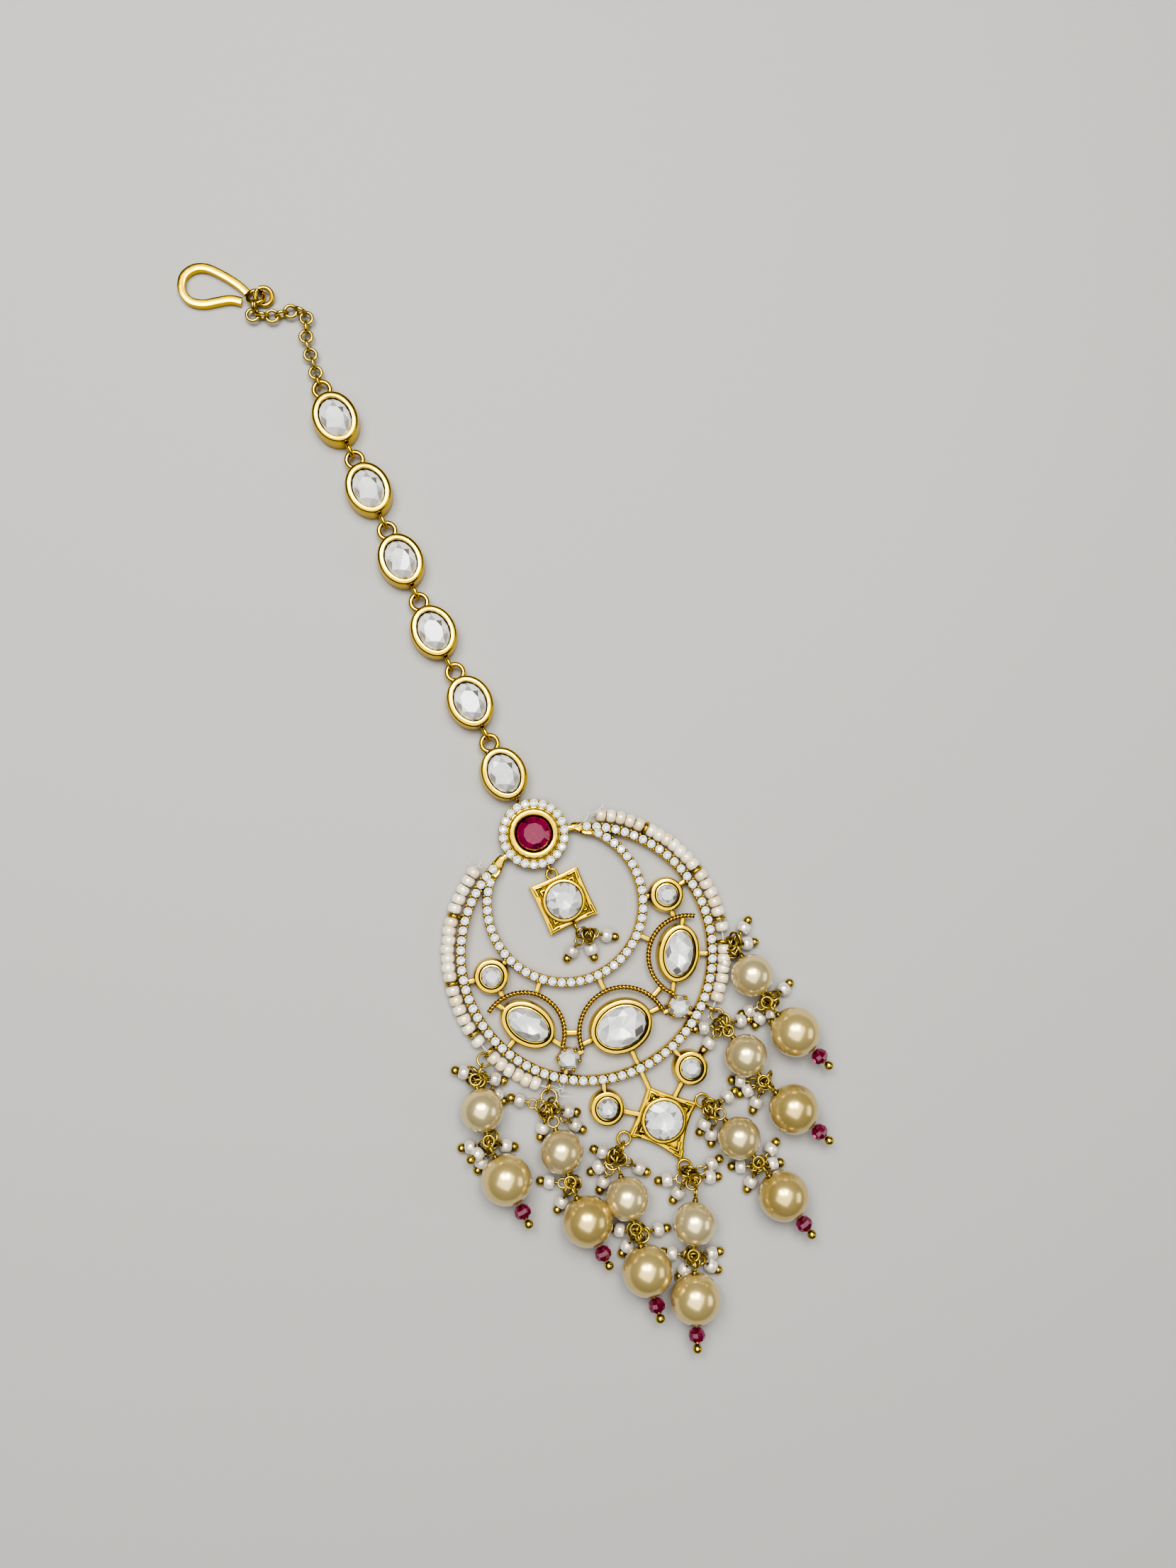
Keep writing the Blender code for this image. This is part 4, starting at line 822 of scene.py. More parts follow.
STAR = (0, -44.04)
under_bars = [
    ((0, INNER_BAND[1] - INNER_BAND_RADIUS), (0, BIG_ROPE_PLACE[1] + BIG_ROPE_RADIUS)),
    (BIG_OVAL_PLACE, STAR),
]
for side in (1, -1):
    places = (ROUND_PLACE, SIDE_OVAL_PLACE, LOW_ROUND_PLACE, PRONG_STONE_PLACE, SIDE_ROPE_PLACE)
    round_at, oval_at, low_at, claw_at, rope_at = ((side * x, y) for x, y in places)
    turn = side * SIDE_OVAL_TURN
    outer, inner = (OUTER_BAND, OUTER_BAND_RADIUS), (INNER_BAND, INNER_BAND_RADIUS)
    side_rope, big_rope = (rope_at, SIDE_ROPE_RADIUS), (BIG_ROPE_PLACE, BIG_ROPE_RADIUS)
    tied = (
        (round_at, outer), (round_at, inner), (round_at, side_rope), (oval_at, outer),
        (claw_at, outer), (claw_at, big_rope), (low_at, outer),
    )
    under_bars += [(place, nearest(place, *circle)) for place, circle in tied]
    under_bars += [(oval_at, along_to_circle(oval_at, turn + flip, *side_rope)) for flip in (0, 180)]
    under_bars += [(low_at, STAR), (BIG_OVAL_PLACE, along_to_circle(BIG_OVAL_PLACE, side * 90, *big_rope))]
    for centre, radius in (inner, big_rope):
        gap = (Vector(rope_at) - Vector(centre)).normalized()
        under_bars.append((Vector(centre) + gap * radius, Vector(rope_at) - gap * SIDE_ROPE_RADIUS))
frame_parts.append(bars("under_bars", under_bars, BAR_WIDTH, BAR_LOW, BAR_HIGH))

# Star
# A four-pointed plate of plated brass with hollow sides, polished on top, with pairs of raised chevrons in
# its corners. A large round silvered stone sits in a low collar on its middle, and a flat eye is soldered
# to three of its corners.
STAR_SIDE_REACH = 5.4
STAR_TOP_REACH = 5.1
STAR_FOOT_REACH = 6.5
STAR_WAIST = 3.55
STAR_COLLAR = 6.5
COLLAR_WALL = 0.58
COLLAR_FOOT = 0.55
PLATE_STONE_GIRDLE = 1.95
PLATE_STONE_TURN = 8
BORDER_SHARE = 0.9
BORDER_WIDTH = 0.72
CHEVRON_WIDTH = 0.52
CHEVRON_SPREAD = 142
# How far each chevron's point lies from the corner, and how long its arms are
CHEVRONS = ((0.75, 1.1), (1.75, 1.35))
SIDE_STEPS = 12
EYE_RADIUS = 0.92
EYE_WIRE = 0.4
EYE_HEIGHT = 1.14
STAR_EYE_HEIGHT = 1.0
plate_steps = ((0, 1.05), (0.05, 0.1))
collar_steps = (
    (0, 1.5), (0.05, 0.12), (0.12, 0.08), (0.24, 0.0), (0.08, -0.08), (0.05, -0.4), (0.3, -0.65),
)


def star_outline(place, reaches, waist, first_turn):
    """A four-pointed outline with hollow sides, each a curve from corner to corner through the waist."""
    outline = []
    for i, reach in enumerate(reaches):
        turn = first_turn + 90 * i
        corner, following = outward(turn) * reach, outward(turn + 90) * reaches[(i + 1) % 4]
        pull = outward(turn + 45) * waist * 2 - (corner + following) / 2
        for t in (step / SIDE_STEPS for step in range(SIDE_STEPS)):
            point = corner * (1 - t) ** 2 + pull * 2 * t * (1 - t) + following * t**2
            outline.append((place[0] + point.x, place[1] + point.y))
    return outline[::-1]


def plate(place, reaches, waist, first_turn):
    """A star plate with a raised border and two chevrons in each corner."""
    outline = star_outline(place, reaches, waist, first_turn)
    parts = [raised(1, 1, plate_steps, outline=outline)]
    middle = Vector(place)
    ring = [middle + (Vector(point) - middle) * BORDER_SHARE for point in outline]
    # The outline's last point is its first corner, and the border is drawn from corner to corner
    ring = [ring[-1], *ring]
    corners = range(0, 4 * SIDE_STEPS, SIDE_STEPS)
    borders = [[(*point, 0) for point in ring[start : start + SIDE_STEPS + 1]] for start in corners]
    parts.append(drawn("borders", borders, section=rounded(BORDER_WIDTH, 1.0, 1.5, 0.2)))
    arms = []
    for i, reach in enumerate(reaches):
        turn = first_turn + 90 * i
        for inset, arm in CHEVRONS:
            apex = Vector(round_place(place, reach - inset, turn))
            wings = [apex + outward(turn + lean).xy * arm for lean in (CHEVRON_SPREAD, -CHEVRON_SPREAD)]
            arms.append([(*wings[0], 0), (*apex, 0), (*wings[1], 0)])
    parts.append(drawn("chevrons", arms, section=rounded(CHEVRON_WIDTH, 1.0, 1.75, 0.22)))
    return parts


def collar_stone(node, place, diameter):
    """A round stone in a collar on a plate."""
    size = diameter - 2 * COLLAR_WALL
    stone = cut_stone(size, size, 0.5, 0.5, 0.5, 20, glass, foil)
    seated(stone, node + "_cut", at(*place, PLATE_STONE_GIRDLE, PLATE_STONE_TURN), "white_crystal", node)
    return moved(raised(diameter, diameter, collar_steps), at(*place, COLLAR_FOOT))


star_reaches = (STAR_TOP_REACH, STAR_SIDE_REACH, STAR_FOOT_REACH, STAR_SIDE_REACH)
frame_parts += plate(STAR, star_reaches, STAR_WAIST, 0)
frame_parts.append(collar_stone("star_stone", STAR, STAR_COLLAR))

# Eyes
# Rings of plated wire soldered upright round the outer band, which the bead strings and four of the tassels
# pass through, and flat on the star's corners, which carry the other three.
BAND_WIDTH = 1.5
STRING_EYE_TURNS = (50, 78, 100.6, 110.2, 139)
DROP_LOOP_RADIUS = 0.75
DROP_LOOP_SINK = 0.45
star_eyes = {
    "star_left": (-90, STAR_SIDE_REACH),
    "star_foot": (180, STAR_FOOT_REACH),
    "star_right": (90, STAR_SIDE_REACH),
}


def eye_place(turn):
    """The centre of an upright eye on the outside of the outer band."""
    reach = OUTER_BAND_RADIUS + BAND_WIDTH / 2 + EYE_RADIUS - SOLDER
    return Vector((*round_place(OUTER_BAND, reach, turn), EYE_HEIGHT))


def star_eye(turn, reach):
    """The centre of the flat eye at one corner of the star."""
    return Vector((*STAR, STAR_EYE_HEIGHT)) + outward(turn) * (reach + EYE_RADIUS - 4 * SOLDER)


eye_loops = []
for string_turn in STRING_EYE_TURNS:
    for turn in (string_turn, -string_turn):
        eye_loops.append(loop(eye_place(turn), outward(turn), UP, EYE_RADIUS))
for turn, reach in star_eyes.values():
    eye_loops.append(loop(star_eye(turn, reach), outward(turn), outward(turn + 90), EYE_RADIUS))
drop_eye = Vector((0, -HALO_DIAMETER / 2 - DROP_LOOP_RADIUS + DROP_LOOP_SINK, EYE_HEIGHT))
eye_loops.append(loop(drop_eye, outward(0), UP, DROP_LOOP_RADIUS))
frame_parts.append(drawn("eyes", eye_loops, EYE_WIRE, closed=True))
halo_loop_centre = Vector((0, HALO_CORE_DIAMETER / 2 + HALO_LOOP_REACH, HALO_LOOP_HEIGHT))
halo_loop = loop(halo_loop_centre, outward(90), outward(0), HALO_LOOP_RADIUS)
frame_parts.append(drawn("halo_loop", [halo_loop], HALO_LOOP_WIRE, closed=True))
dressed(joined("crescent_frame_polished", frame_parts), gold, "bright_gold", "crescent_frame")

# Square drop
# A square plate like the star's, hung inside the crescent on a small loop at the middle of one side. A wire
# eye under the opposite side carries a small cluster of dangling beads.
DROP = (0, -10.32)
DROP_CORNER_REACH = 5.25
DROP_WAIST = 3.6
DROP_COLLAR = 6.2
DROP_EYE_SINK = 0.5
DROP_NECK_WIDTH = 0.5
drop_parts = plate(DROP, (DROP_CORNER_REACH,) * 4, DROP_WAIST, 45)
drop_parts.append(collar_stone("square_drop_stone", DROP, DROP_COLLAR))
passing = drop_eye.y - DROP_LOOP_RADIUS + EYE_WIRE + LOOSE
lower_eye = DROP[1] - DROP_WAIST - EYE_RADIUS + DROP_EYE_SINK
drop_loops = [
    loop(Vector((0, passing - DROP_LOOP_RADIUS, EYE_HEIGHT)), outward(90), outward(0), DROP_LOOP_RADIUS),
    loop(Vector((0, lower_eye, EYE_HEIGHT)), outward(0), UP, EYE_RADIUS),
]
drop_parts.append(drawn("drop_loops", drop_loops, EYE_WIRE, closed=True))
drop_parts.append(bars("drop_neck", [((0, passing - 2 * DROP_LOOP_RADIUS), DROP)], DROP_NECK_WIDTH, 0.3, 1.2))
dressed(joined("square_drop_polished", drop_parts), gold, "bright_gold", "square_drop")

# Bead strings
# Cream glass seed beads on nylon thread, laced through the upright eyes round the outside of the crescent.
# The thread's ends are knotted and left a little frayed.
STRING_RADIUS = 19.57
STRING_HEIGHT = 1.04
STRING_BEAD_PITCH = 1.31
STRING_BEAD_DIAMETER = 2.02
STRING_BEAD_LENGTH = 1.34
STRING_BEAD_HOLE = 0.45
STRING_START_TURN = 27.5
STRING_END_TURN = 143
STRING_LEAD = 2
TASSEL_EYE_TURNS = (110.2, 139)
EYE_GAP = 0.3
TASSEL_EYE_GAP = 0.45
TASSEL_EYE_LEAD = 1.2
THREAD_WIRE = 0.2
FIBRE_WIRE = 0.08
FIBRES = 9
FIBRE_ENDS = ((9.3, -0.9, 1.7), (10.4, -0.5, 1.8), (-9.3, -0.9, 1.6), (-11.6, -34.2, 1.0))


def seed_glass(name, first, second, glow, **inputs):
    """Glass seed beads with a soft shine, light going a little way in. No two are quite the same colour."""
    material = surface(name, Subsurface_Weight=0.2, Subsurface_Radius=glow, **inputs)
    coloured(material, own(material, "lot"), first, second)
    return material


def stretched(bead, share):
    """Stretches a bead along its hole."""
    bpy.ops.object.mode_set(mode="EDIT")
    bpy.ops.mesh.select_all(action="SELECT")
    bpy.ops.transform.resize(value=(1, 1, share))
    bpy.ops.object.mode_set(mode="OBJECT")
    return bead


def seed_bead(diameter, length, hole):
    """A round-edged bead at the origin, its hole along Z."""
    thick = (diameter - hole) / 4
    radii = {"major_radius": (hole / 2 + thick) * MM, "minor_radius": thick * MM}
    bead = basic(bpy.ops.mesh.primitive_torus_add, major_segments=20, minor_segments=12, **radii)
    return stretched(bead, length / 2 / thick)


def facing(place, axis):
    """A place in millimetres, with Z turned to an axis."""
    return Matrix.Translation(place) @ Vector(axis).to_track_quat("Z", "Y").to_matrix().to_4x4()


string_bead = seed_bead(STRING_BEAD_DIAMETER, STRING_BEAD_LENGTH, STRING_BEAD_HOLE)
# Opaque glass with a wax-like shine, cream to pale peach
cream_glass = seed_glass(
    "cream_seed_glass",
    "#F5ECD6",
    "#E8D6B0",
    (0.0012, 0.0008, 0.0005),
    Roughness=0.16,
    Metallic=0.15,
    Coat_Weight=1.0,
    Coat_Roughness=0.08,
    Subsurface_Scale=0.5,
)
thread_routes = []
for side, word in ((1, "right"), (-1, "left")):
    bead_places = []
    stops = [STRING_START_TURN, *STRING_EYE_TURNS]
    for start, end in zip(stops, stops[1:]):
        gap = degrees((TASSEL_EYE_GAP if start in TASSEL_EYE_TURNS else EYE_GAP) / STRING_RADIUS)
        end_gap = degrees((TASSEL_EYE_LEAD if end in TASSEL_EYE_TURNS else EYE_GAP) / STRING_RADIUS)
        room = radians(end - end_gap - start - gap) * STRING_RADIUS
        count = max(1, int(room / STRING_BEAD_PITCH + 0.3))
        for i in range(count):
            turn = start + gap + (end - end_gap - start - gap) * (i + 0.5) / count
            sway = chance.uniform(-0.08, 0.08)
            place = Vector((*round_place(OUTER_BAND, STRING_RADIUS + sway, side * turn), STRING_HEIGHT))
            axis = outward(side * turn + 90 + chance.uniform(-7, 7)) + UP * chance.uniform(-0.08, 0.08)
            bead_places.append(facing(place, axis))
    beads = joined(f"string_beads_{word}", copied(string_bead, bead_places))
    dressed(beads, cream_glass, "cream_glass", "seed_string_" + word, angle=180)
    ends = (side * (STRING_START_TURN - STRING_LEAD), side * STRING_END_TURN)
    thread_routes.append(arc(OUTER_BAND, STRING_RADIUS, *ends, 90, STRING_HEIGHT))
tip_end = Vector((*round_place(OUTER_BAND, STRING_RADIUS, STRING_START_TURN - STRING_LEAD), STRING_HEIGHT))
foot_end = Vector((*round_place(OUTER_BAND, STRING_RADIUS, -STRING_END_TURN), STRING_HEIGHT))
loose_threads = (
    (tip_end, (7.6, -1.2, 1.6), (6.3, -1.5, 1.9), (5.3, -1.6, 1.4)),
    (tip_end, (9.4, -0.9, 1.6), (10.2, -0.6, 2.0), (10.9, -0.2, 1.8)),
    (foot_end, (-11.3, -33.9, 1.3), (-10.9, -34.6, 0.9)),
    (foot_end, (-11.7, -34.3, 0.9), (-11.9, -35.2, 0.5)),
)
thread_routes += [smooth_route(points, 5) for points in loose_threads]
threads = drawn("threads", thread_routes, THREAD_WIRE, sides=8)
# The cut ends have come apart into short fibres
fibres = []
for place in FIBRE_ENDS:
    for _ in range(FIBRES):
        scatter = Vector((chance.uniform(-0.4, 0.4), chance.uniform(-0.3, 0.3), chance.uniform(-0.3, 0.3)))
        start = Vector(place) + scatter
        bend = Vector((chance.uniform(-0.7, 0.7), chance.uniform(-0.5, 0.7), chance.uniform(-0.3, 0.4)))
        tip = bend * 2 + Vector((chance.uniform(-0.4, 0.4), chance.uniform(-0.4, 0.4), -0.2))
        fibres.append(smooth_route([start, start + bend, start + tip], 4))
fibre_ends = drawn("fibres", fibres, FIBRE_WIRE, sides=6)
# Clear nylon thread, gone whitish: slightly fibrous and half see-through
nylon = surface("nylon_thread", Base_Color=linear("#E9E6DC"), Roughness=0.45, Transmission_Weight=0.35)
dressed(joined("string_threads", [threads, fibre_ends]), nylon, "cream_glass")

# Tassels
# Seven fringes hang from the outer eyes and the star: antiqued jump rings, an eyed pin through a champagne
# pearl, and a headed pin through a larger golden pearl and a red crystal bead, ending in a gold ball.
UPPER_PEARL_DIAMETER = 6.0
LOWER_PEARL_DIAMETER = 7.0
PIN_WIRE = 0.35
PIN_EYE_RADIUS = 0.75
PIN_NECK = 0.3
PIN_LIFT = 5
PIN_DROOP = 5
PIN_WRAP = 0.12
WRAP_RADIUS = 0.27
WRAP_LENGTH = 0.42
STEM_THINNER = 0.08
CRYSTAL_DIAMETER = 2.4
CRYSTAL_REACH = 1.5
END_BALL = 1.3
END_BALL_REACH = 1.9
# Each row is where a tassel hangs, how many rings it has and their radius, and how far its rings, its upper
# pearl and its lower pearl are turned
TASSELS = (
    ("left_side", 2, 0.96, -50, -12, 2),
    ("left_low", 2, 1.09, -15, -9, 1),
    ("star_left", 2, 0.92, -39, -9, -9),
    ("star_foot", 2, 0.82, -3, -28, -22),
    ("star_right", 1, 1.2, 29, 14, 12),
    ("right_low", 2, 0.88, 8, 10, 24),
    ("right_side", 1, 1.0, 32, 3, 21),
)


def pearl_nacre(name, body, shade):
    """Glass pearls with many coats of pearl lacquer: a soft metallic glow under a clear bright shine."""
    material = surface(name, Roughness=0.24, Metallic=0.62, Coat_Weight=0.8, Coat_Roughness=0.14)
    # Faint clouds in the lacquer, 2 to 3 mm across, and a fine orange-peel surface
    clouds = {0: noise(material, 2.6, 3.0), 1: own(material, "lot")}
    share = add(material, "ShaderNodeMath", clouds, operation="MULTIPLY").outputs[0]
    coloured(material, share, body, shade)
    bumped(material, noise(material, 0.5, 2.0), 0.12, 0.02)
    return material


def drilled_pearl(diameter):
    """A pearl at the origin, drilled along Z."""
    radius = diameter * MM / 2
    pearl = basic(bpy.ops.mesh.primitive_uv_sphere_add, segments=48, ring_count=36, radius=radius)
    pole = radius * 0.991
    for part in (*pearl.data.polygons, *pearl.data.edges):
        part.select = False
    for vertex in pearl.data.vertices:
        vertex.select = abs(vertex.co.z) > pole
    bpy.ops.object.mode_set(mode="EDIT")
    bpy.ops.mesh.select_mode(type="VERT")
    bpy.ops.mesh.delete(type="VERT")
    bpy.ops.mesh.select_all(action="DESELECT")
    bpy.ops.mesh.select_non_manifold()
    bpy.ops.mesh.bridge_edge_loops()
    bpy.ops.mesh.select_all(action="SELECT")
    bpy.ops.mesh.normals_make_consistent(inside=False)
    bpy.ops.object.mode_set(mode="OBJECT")
    return pearl


def leaning(turn, lift):
    """A direction turned from -Y towards +X, in degrees, and lifted off the level."""
    level = Vector((sin(radians(turn)), -cos(radians(turn)), 0))
    return level * cos(radians(lift)) + UP * sin(radians(lift))


def tassel_anchor(place, way):
    """Where a tassel's first ring passes through its eye."""
    gap = (EYE_WIRE + PIN_WIRE) / 2 + LOOSE
    if place in star_eyes:
        return star_eye(*star_eyes[place]) + way * (EYE_RADIUS - gap)
    side = -1 if place.startswith("left") else 1
    turn = side * TASSEL_EYE_TURNS[0 if place.endswith("side") else 1]
    return eye_place(turn) + outward(turn) * (EYE_RADIUS - gap / way.dot(outward(turn)))


def node_centre(node):
    """The middle of a node's box, in millimetres."""
    low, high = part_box(node)
    return (Vector(low) + Vector(high)) / 2 / MM


def wrapped(eye, axis):
    """A close coil of two turns round an axis, beside a pin's eye."""
    start = eye + axis * (PIN_EYE_RADIUS + PIN_WRAP)
    across = axis.orthogonal().normalized()
    coil = loop(start, across, axis.cross(across), WRAP_RADIUS, 0, 720, 32)
    return [point + axis * WRAP_LENGTH * i / 32 for i, point in enumerate(coil)]


upper_nacre = pearl_nacre("champagne_pearl_nacre", "#DDCD9F", "#B8A56E")
lower_nacre = pearl_nacre("golden_pearl_nacre", "#DAC589", "#B69C53")
# Transparent red cut glass: magenta in the light and dark crimson in the middle
crimson = surface(
    "crimson_bead_glass",
    Base_Color=linear("#981C50"),
    Roughness=0.03,
    IOR=1.56,
    Transmission_Weight=0.75,
    Coat_Weight=0.5,
)
upper_master, lower_master = drilled_pearl(UPPER_PEARL_DIAMETER), drilled_pearl(LOWER_PEARL_DIAMETER)
# A faceted round bead, its hole along Z
crystal_radius = CRYSTAL_DIAMETER * MM / 2
crystal_master = basic(bpy.ops.mesh.primitive_uv_sphere_add, segments=10, ring_count=6, radius=crystal_radius)
stretched(crystal_master, 0.9)
end_ball = ball(END_BALL)
for number, (hangs_from, rings, radius, ring_turn, upper_turn, lower_turn) in enumerate(TASSELS, 1):
    upper, lower = UPPER_PEARL_DIAMETER / 2, LOWER_PEARL_DIAMETER / 2
    reach = PIN_NECK + PIN_EYE_RADIUS + PIN_WIRE / 2
    upper_axis, lower_axis = leaning(upper_turn, PIN_LIFT), leaning(lower_turn, -PIN_DROOP)
    anchor = tassel_anchor(hangs_from, leaning(ring_turn, 0))
    upper_pearl, lower_pearl = node_centre(f"upper_pearl_{number}"), node_centre(f"lower_pearl_{number}")
    head, foot = upper_pearl - upper_axis * (upper + reach), upper_pearl + upper_axis * (upper + reach)
    top = lower_pearl - lower_axis * (lower + reach)
    way = (head - anchor).normalized()
    side_way = way.cross(UP).normalized()
    upright = hangs_from in star_eyes
    ring_loops = []
    spot = anchor
    for i in range(rings):
        spot = spot + way * (radius if i == 0 else 2 * radius - PIN_WIRE + SOLDER)
        across = side_way.cross(way) if (i + upright) % 2 else side_way
        ring_loops.append(loop(spot, way, across, radius))
    upper_side = upper_axis.cross(UP).normalized()
    upper_rise = upper_side.cross(upper_axis)
    lower_rise = lower_axis.cross(UP).normalized().cross(lower_axis)
    head_across = upper_rise if (rings + upright) % 2 else upper_side
    ring_loops.append(loop(head, upper_axis, head_across, PIN_EYE_RADIUS))
    ring_loops.append(loop(foot, upper_axis, upper_side, PIN_EYE_RADIUS))
    ring_loops.append(loop(top, lower_axis, lower_rise, PIN_EYE_RADIUS))
    crystal_place = lower_pearl + lower_axis * (lower + CRYSTAL_REACH)
    ball_place = crystal_place + lower_axis * END_BALL_REACH
    pins = [
        [head + upper_axis * PIN_EYE_RADIUS, foot - upper_axis * PIN_EYE_RADIUS],
        [top + lower_axis * PIN_EYE_RADIUS, ball_place],
    ]
    necks = [wrapped(head, upper_axis), wrapped(foot, -upper_axis), wrapped(top, lower_axis)]
    parts = [
        drawn("rings", ring_loops, PIN_WIRE, closed=True),
        drawn("pins", pins + necks, PIN_WIRE - STEM_THINNER),
        *copied(end_ball, [Matrix.Translation(ball_place)]),
    ]
    wires = joined(f"tassel_{number}_wires", parts)
    dressed(wires, aged_gold, "aged_gold", f"tassel_wire_{number}", angle=60)
    for kind, master, place, axis, nacre, slot in (
        ("upper", upper_master, upper_pearl, upper_axis, upper_nacre, "champagne_nacre"),
        ("lower", lower_master, lower_pearl, lower_axis, lower_nacre, "golden_nacre"),
    ):
        pearl = copied(master, [facing(place, axis)])[0]
        pearl.name = f"{kind}_pearl_{number}_nacre"
        dressed(pearl, nacre, slot, f"{kind}_pearl_{number}", angle=50)
    bead = copied(crystal_master, [facing(crystal_place, lower_axis)])[0]
    bead.name = f"crimson_bead_{number}"
    dressed(bead, crimson, "ruby", angle=1)

# Dangles
# White lustrous seed beads on short ball-headed pins, clustered on the rings above each pearl and under the
# drop. They lie as they fell, so each has its own place and lean.
DANGLE_BEAD_DIAMETER = 2.0
DANGLE_BEAD_LENGTH = 1.5
DANGLE_BEAD_HOLE = 0.3
DANGLE_BALL = 1.3
DANGLE_HANG_HEIGHT = 1.7
DANGLE_PIN = 1.35
DANGLE_BALL_REACH = 1.25
DANGLE_BALL_LOW = 0.56
DANGLE_EYE_RADIUS = 0.62
DANGLE_EYE_REACH = 0.5
DANGLE_EYE_WIRE = 0.33
DANGLE_WIRE = 0.34
LOOSE_LOOPS = 6
# Each row is where a cluster hangs, then the middles of its beads
DANGLES = (
    ((-21.0, -27.2), (-22.5, -26.1, 1.5), (-19.0, -28.8, 1.2), (-19.6, -31.0, 1.0)),
    ((-23.3, -36.5), (-25.9, -35.8, 1.1), (-25.4, -38.4, 1.0), (-21.4, -37.8, 1.0), (-25.3, -36.9, 2.4)),
    ((-13.9, -35.5), (-17.1, -32.9, 1.4), (-11.6, -37.2, 1.0), (-15.8, -37.8, 1.2), (-11.5, -39.4, 1.0)),
    ((-15.3, -46.4), (-18.0, -44.9, 1.0), (-17.6, -48.1, 1.2)),
    ((-8.1, -45.6), (-9.6, -44.3, 1.4), (-11.0, -46.0, 1.2), (-11.2, -48.2, 1.0), (-5.9, -48.6, 1.2)),
    ((-9.9, -56.4), (-11.9, -55.1, 1.1), (-11.9, -57.6, 1.0), (-7.0, -57.4, 1.1)),
    ((-0.2, -52.7), (-3.0, -51.8, 1.2), (-2.4, -54.1, 1.1), (2.6, -54.1, 1.0), (3.6, -52.5, 1.2)),
    ((-4.0, -62.8), (-6.6, -61.2, 1.1), (-6.0, -64.0, 1.0), (-1.6, -63.6, 1.2), (-2.4, -65.2, 1.0)),
    ((7.0, -45.6), (4.9, -47.1, 1.5), (5.3, -48.9, 1.1), (9.6, -45.1, 1.3)),
    ((9.4, -55.6), (12.1, -54.4, 1.1), (7.2, -54.7, 1.0), (7.6, -57.2, 1.1), (11.4, -56.3, 1.2)),
    ((13.4, -35.6), (10.6, -34.9, 1.4), (10.4, -37.2, 1.1), (15.8, -36.3, 1.2)),
    ((15.2, -45.5), (12.2, -43.9, 1.1), (12.6, -45.6, 1.0), (13.0, -47.6, 1.1)),
    ((19.4, -26.2), (21.8, -24.6, 1.3), (21.3, -26.8, 1.1), (17.2, -28.0, 1.1)),
    ((21.0, -35.6), (23.4, -34.9, 1.1), (20.2, -37.2, 2.2), (17.6, -35.6, 1.0), (18.5, -37.2, 1.0)),
    ((0.9, -15.6), (3.47, -17.32, 1.1), (0.69, -18.17, 1.1), (-1.89, -17.3, 1.1)),
)
dangle_bead = seed_bead(DANGLE_BEAD_DIAMETER, DANGLE_BEAD_LENGTH, DANGLE_BEAD_HOLE)
dangle_ball = ball(DANGLE_BALL)
seed_places, ball_places, dangle_pins, dangle_eyes = [], [], [], []
for hang_place, *seeds in DANGLES:
    hang = Vector((*hang_place, DANGLE_HANG_HEIGHT))
    for seed in map(Vector, seeds):
        way = (seed - hang).normalized()
        eye_at = seed - way * min(DANGLE_PIN, (seed - hang).length * 0.7)
        far = seed + way * DANGLE_BALL_REACH
        far.z = max(far.z, DANGLE_BALL_LOW)
        seed_places.append(facing(seed, way))
        ball_places.append(Matrix.Translation(far))
        dangle_pins.append([eye_at, seed, far])
        turned = (UP + Vector((chance.uniform(-0.9, 0.9), chance.uniform(-0.9, 0.9), 0))).normalized()
        across = way.cross(turned).normalized()
        dangle_eyes.append(loop(eye_at - way * DANGLE_EYE_REACH, way, across, DANGLE_EYE_RADIUS))
loose_loops = []
for hang_place, *_ in DANGLES:
    for _ in range(LOOSE_LOOPS):
        scatter = Vector((chance.uniform(-0.9, 0.9), chance.uniform(-0.9, 0.9), chance.uniform(1.3, 2.3)))
        middle = Vector((*hang_place, 0)) + scatter
        axis = Vector((chance.uniform(-1, 1), chance.uniform(-1, 1), chance.uniform(0.2, 0.9))).normalized()
        across = axis.orthogonal().normalized()
        loose_loops.append(loop(middle, across, axis.cross(across), chance.uniform(0.75, 1.0)))
# Milky glass with a pearly skin
white_look = {"Roughness": 0.18, "Metallic": 0.4, "Coat_Weight": 0.9, "Coat_Roughness": 0.05}
white_glass = seed_glass("white_lustred_seed", "#EAE3D6", "#CFC5B4", (0.001, 0.0009, 0.0008), **white_look)
dressed(joined("dangle_seeds", copied(dangle_bead, seed_places)), white_glass, "cream_glass", angle=180)
dangle_parts = [
    drawn("dangle_pins", dangle_pins, DANGLE_WIRE, sides=8),
    drawn("dangle_eyes", dangle_eyes, DANGLE_EYE_WIRE, closed=True, sides=8),
    drawn("loose_loops", loose_loops, DANGLE_WIRE, closed=True, sides=8),
    *copied(dangle_ball, ball_places),
]
dressed(joined("dangle_wires", dangle_parts), aged_gold, "aged_gold", angle=60)
masters = [collar, claw, pave_stone, pave_bead, string_bead, dangle_bead, dangle_ball]
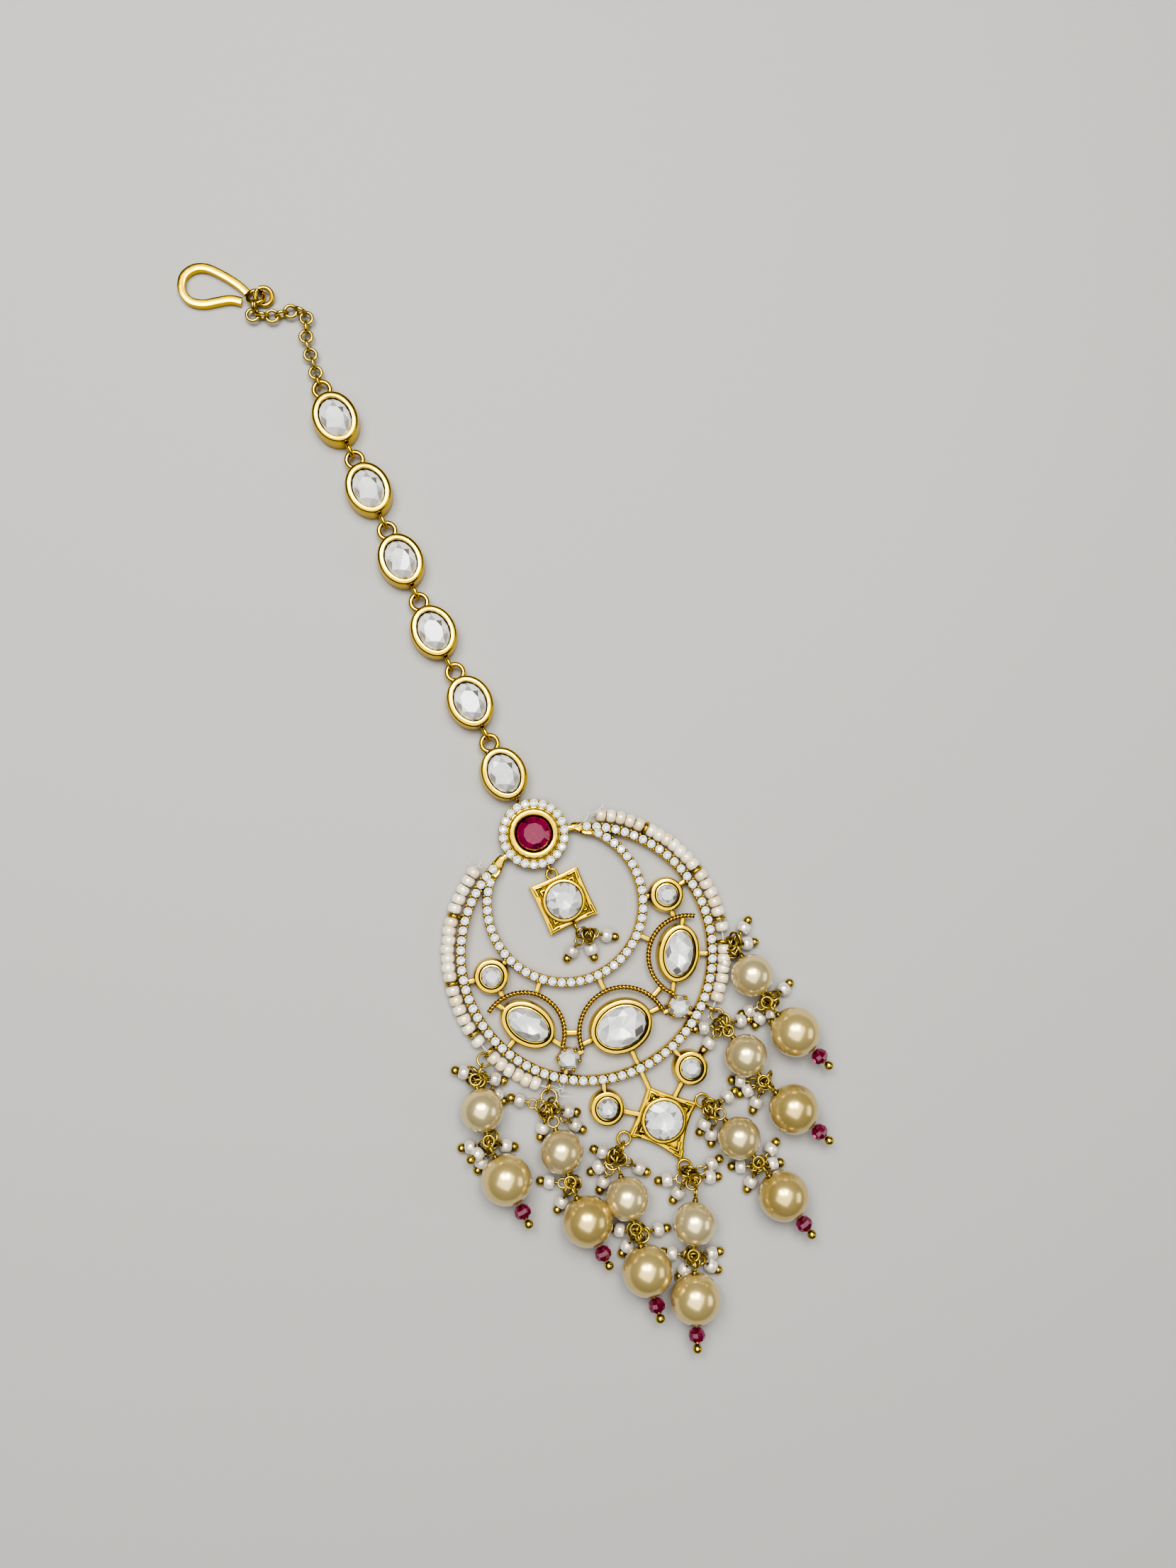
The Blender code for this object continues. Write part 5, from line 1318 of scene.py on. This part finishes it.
for master in [*masters, upper_master, lower_master, crystal_master, end_ball]:
    bpy.data.objects.remove(master, do_unlink=True)

# Floor, light and camera
# A pale plain table under a broad soft ceiling light, with two tall windows side by side behind the
# photographer, which show as a pair of bright patches on every pearl. The rest of the room is dim.
floor = basic(bpy.ops.mesh.primitive_plane_add, size=3)
floor.name = "floor"
paper = surface("matt_paper", Base_Color=linear("#A8A6A2"), Roughness=0.85)
floor.data.materials.append(paper)


def soft_light(name, place, width, height, power, target=(0, 10)):
    """A soft light with a width and a height in millimetres, aimed at a place on the table."""
    lamp = bpy.data.lights.new(name, "AREA")
    lamp.shape = "RECTANGLE"
    lamp.size = width * MM
    lamp.size_y = height * MM
    lamp.energy = power
    light = linked(name, lamp)
    aim = (Vector((*target, 0)) - Vector(place)).to_track_quat("-Z", "Y")
    light.matrix_world = Matrix.Translation(Vector(place) * MM) @ aim.to_matrix().to_4x4()


soft_light("ceiling", (-40, 60, 650), 940, 800, 4.8)
soft_light("window_left", (-62, 191, 400), 125, 170, 0.85)
soft_light("window_right", (88, 123, 400), 125, 170, 0.85)
soft_light("far_wall", (420, -260, 260), 300, 200, 0.35)
world = bpy.data.worlds.new("studio")
world.use_nodes = True
world.node_tree.nodes["Background"].inputs["Color"].default_value = linear("#3A3A3C")
world.node_tree.nodes["Background"].inputs["Strength"].default_value = 1.0
bpy.context.scene.world = world
bpy.context.scene.view_settings.look = "AgX - High Contrast"

IMAGE_RIGHT = (0.90475, -0.41556, 0.09346)
IMAGE_DOWN = (-0.40903, -0.90887, -0.08153)
VIEW = (0.11882, 0.03554, -0.99228)
CAMERA_PLACE = (-12.776, -3.543, 191.727)
lens = bpy.data.cameras.new("camera")
lens.sensor_fit = "VERTICAL"
lens.sensor_height = 36
lens.lens = 1900 / 2212 * 36
lens.clip_start = 0.01
camera = linked("camera", lens)
axes = Matrix((IMAGE_RIGHT, -Vector(IMAGE_DOWN), -Vector(VIEW))).transposed()
camera.matrix_world = Matrix.Translation(Vector(CAMERA_PLACE) * MM) @ axes.to_4x4()
bpy.context.scene.camera = camera
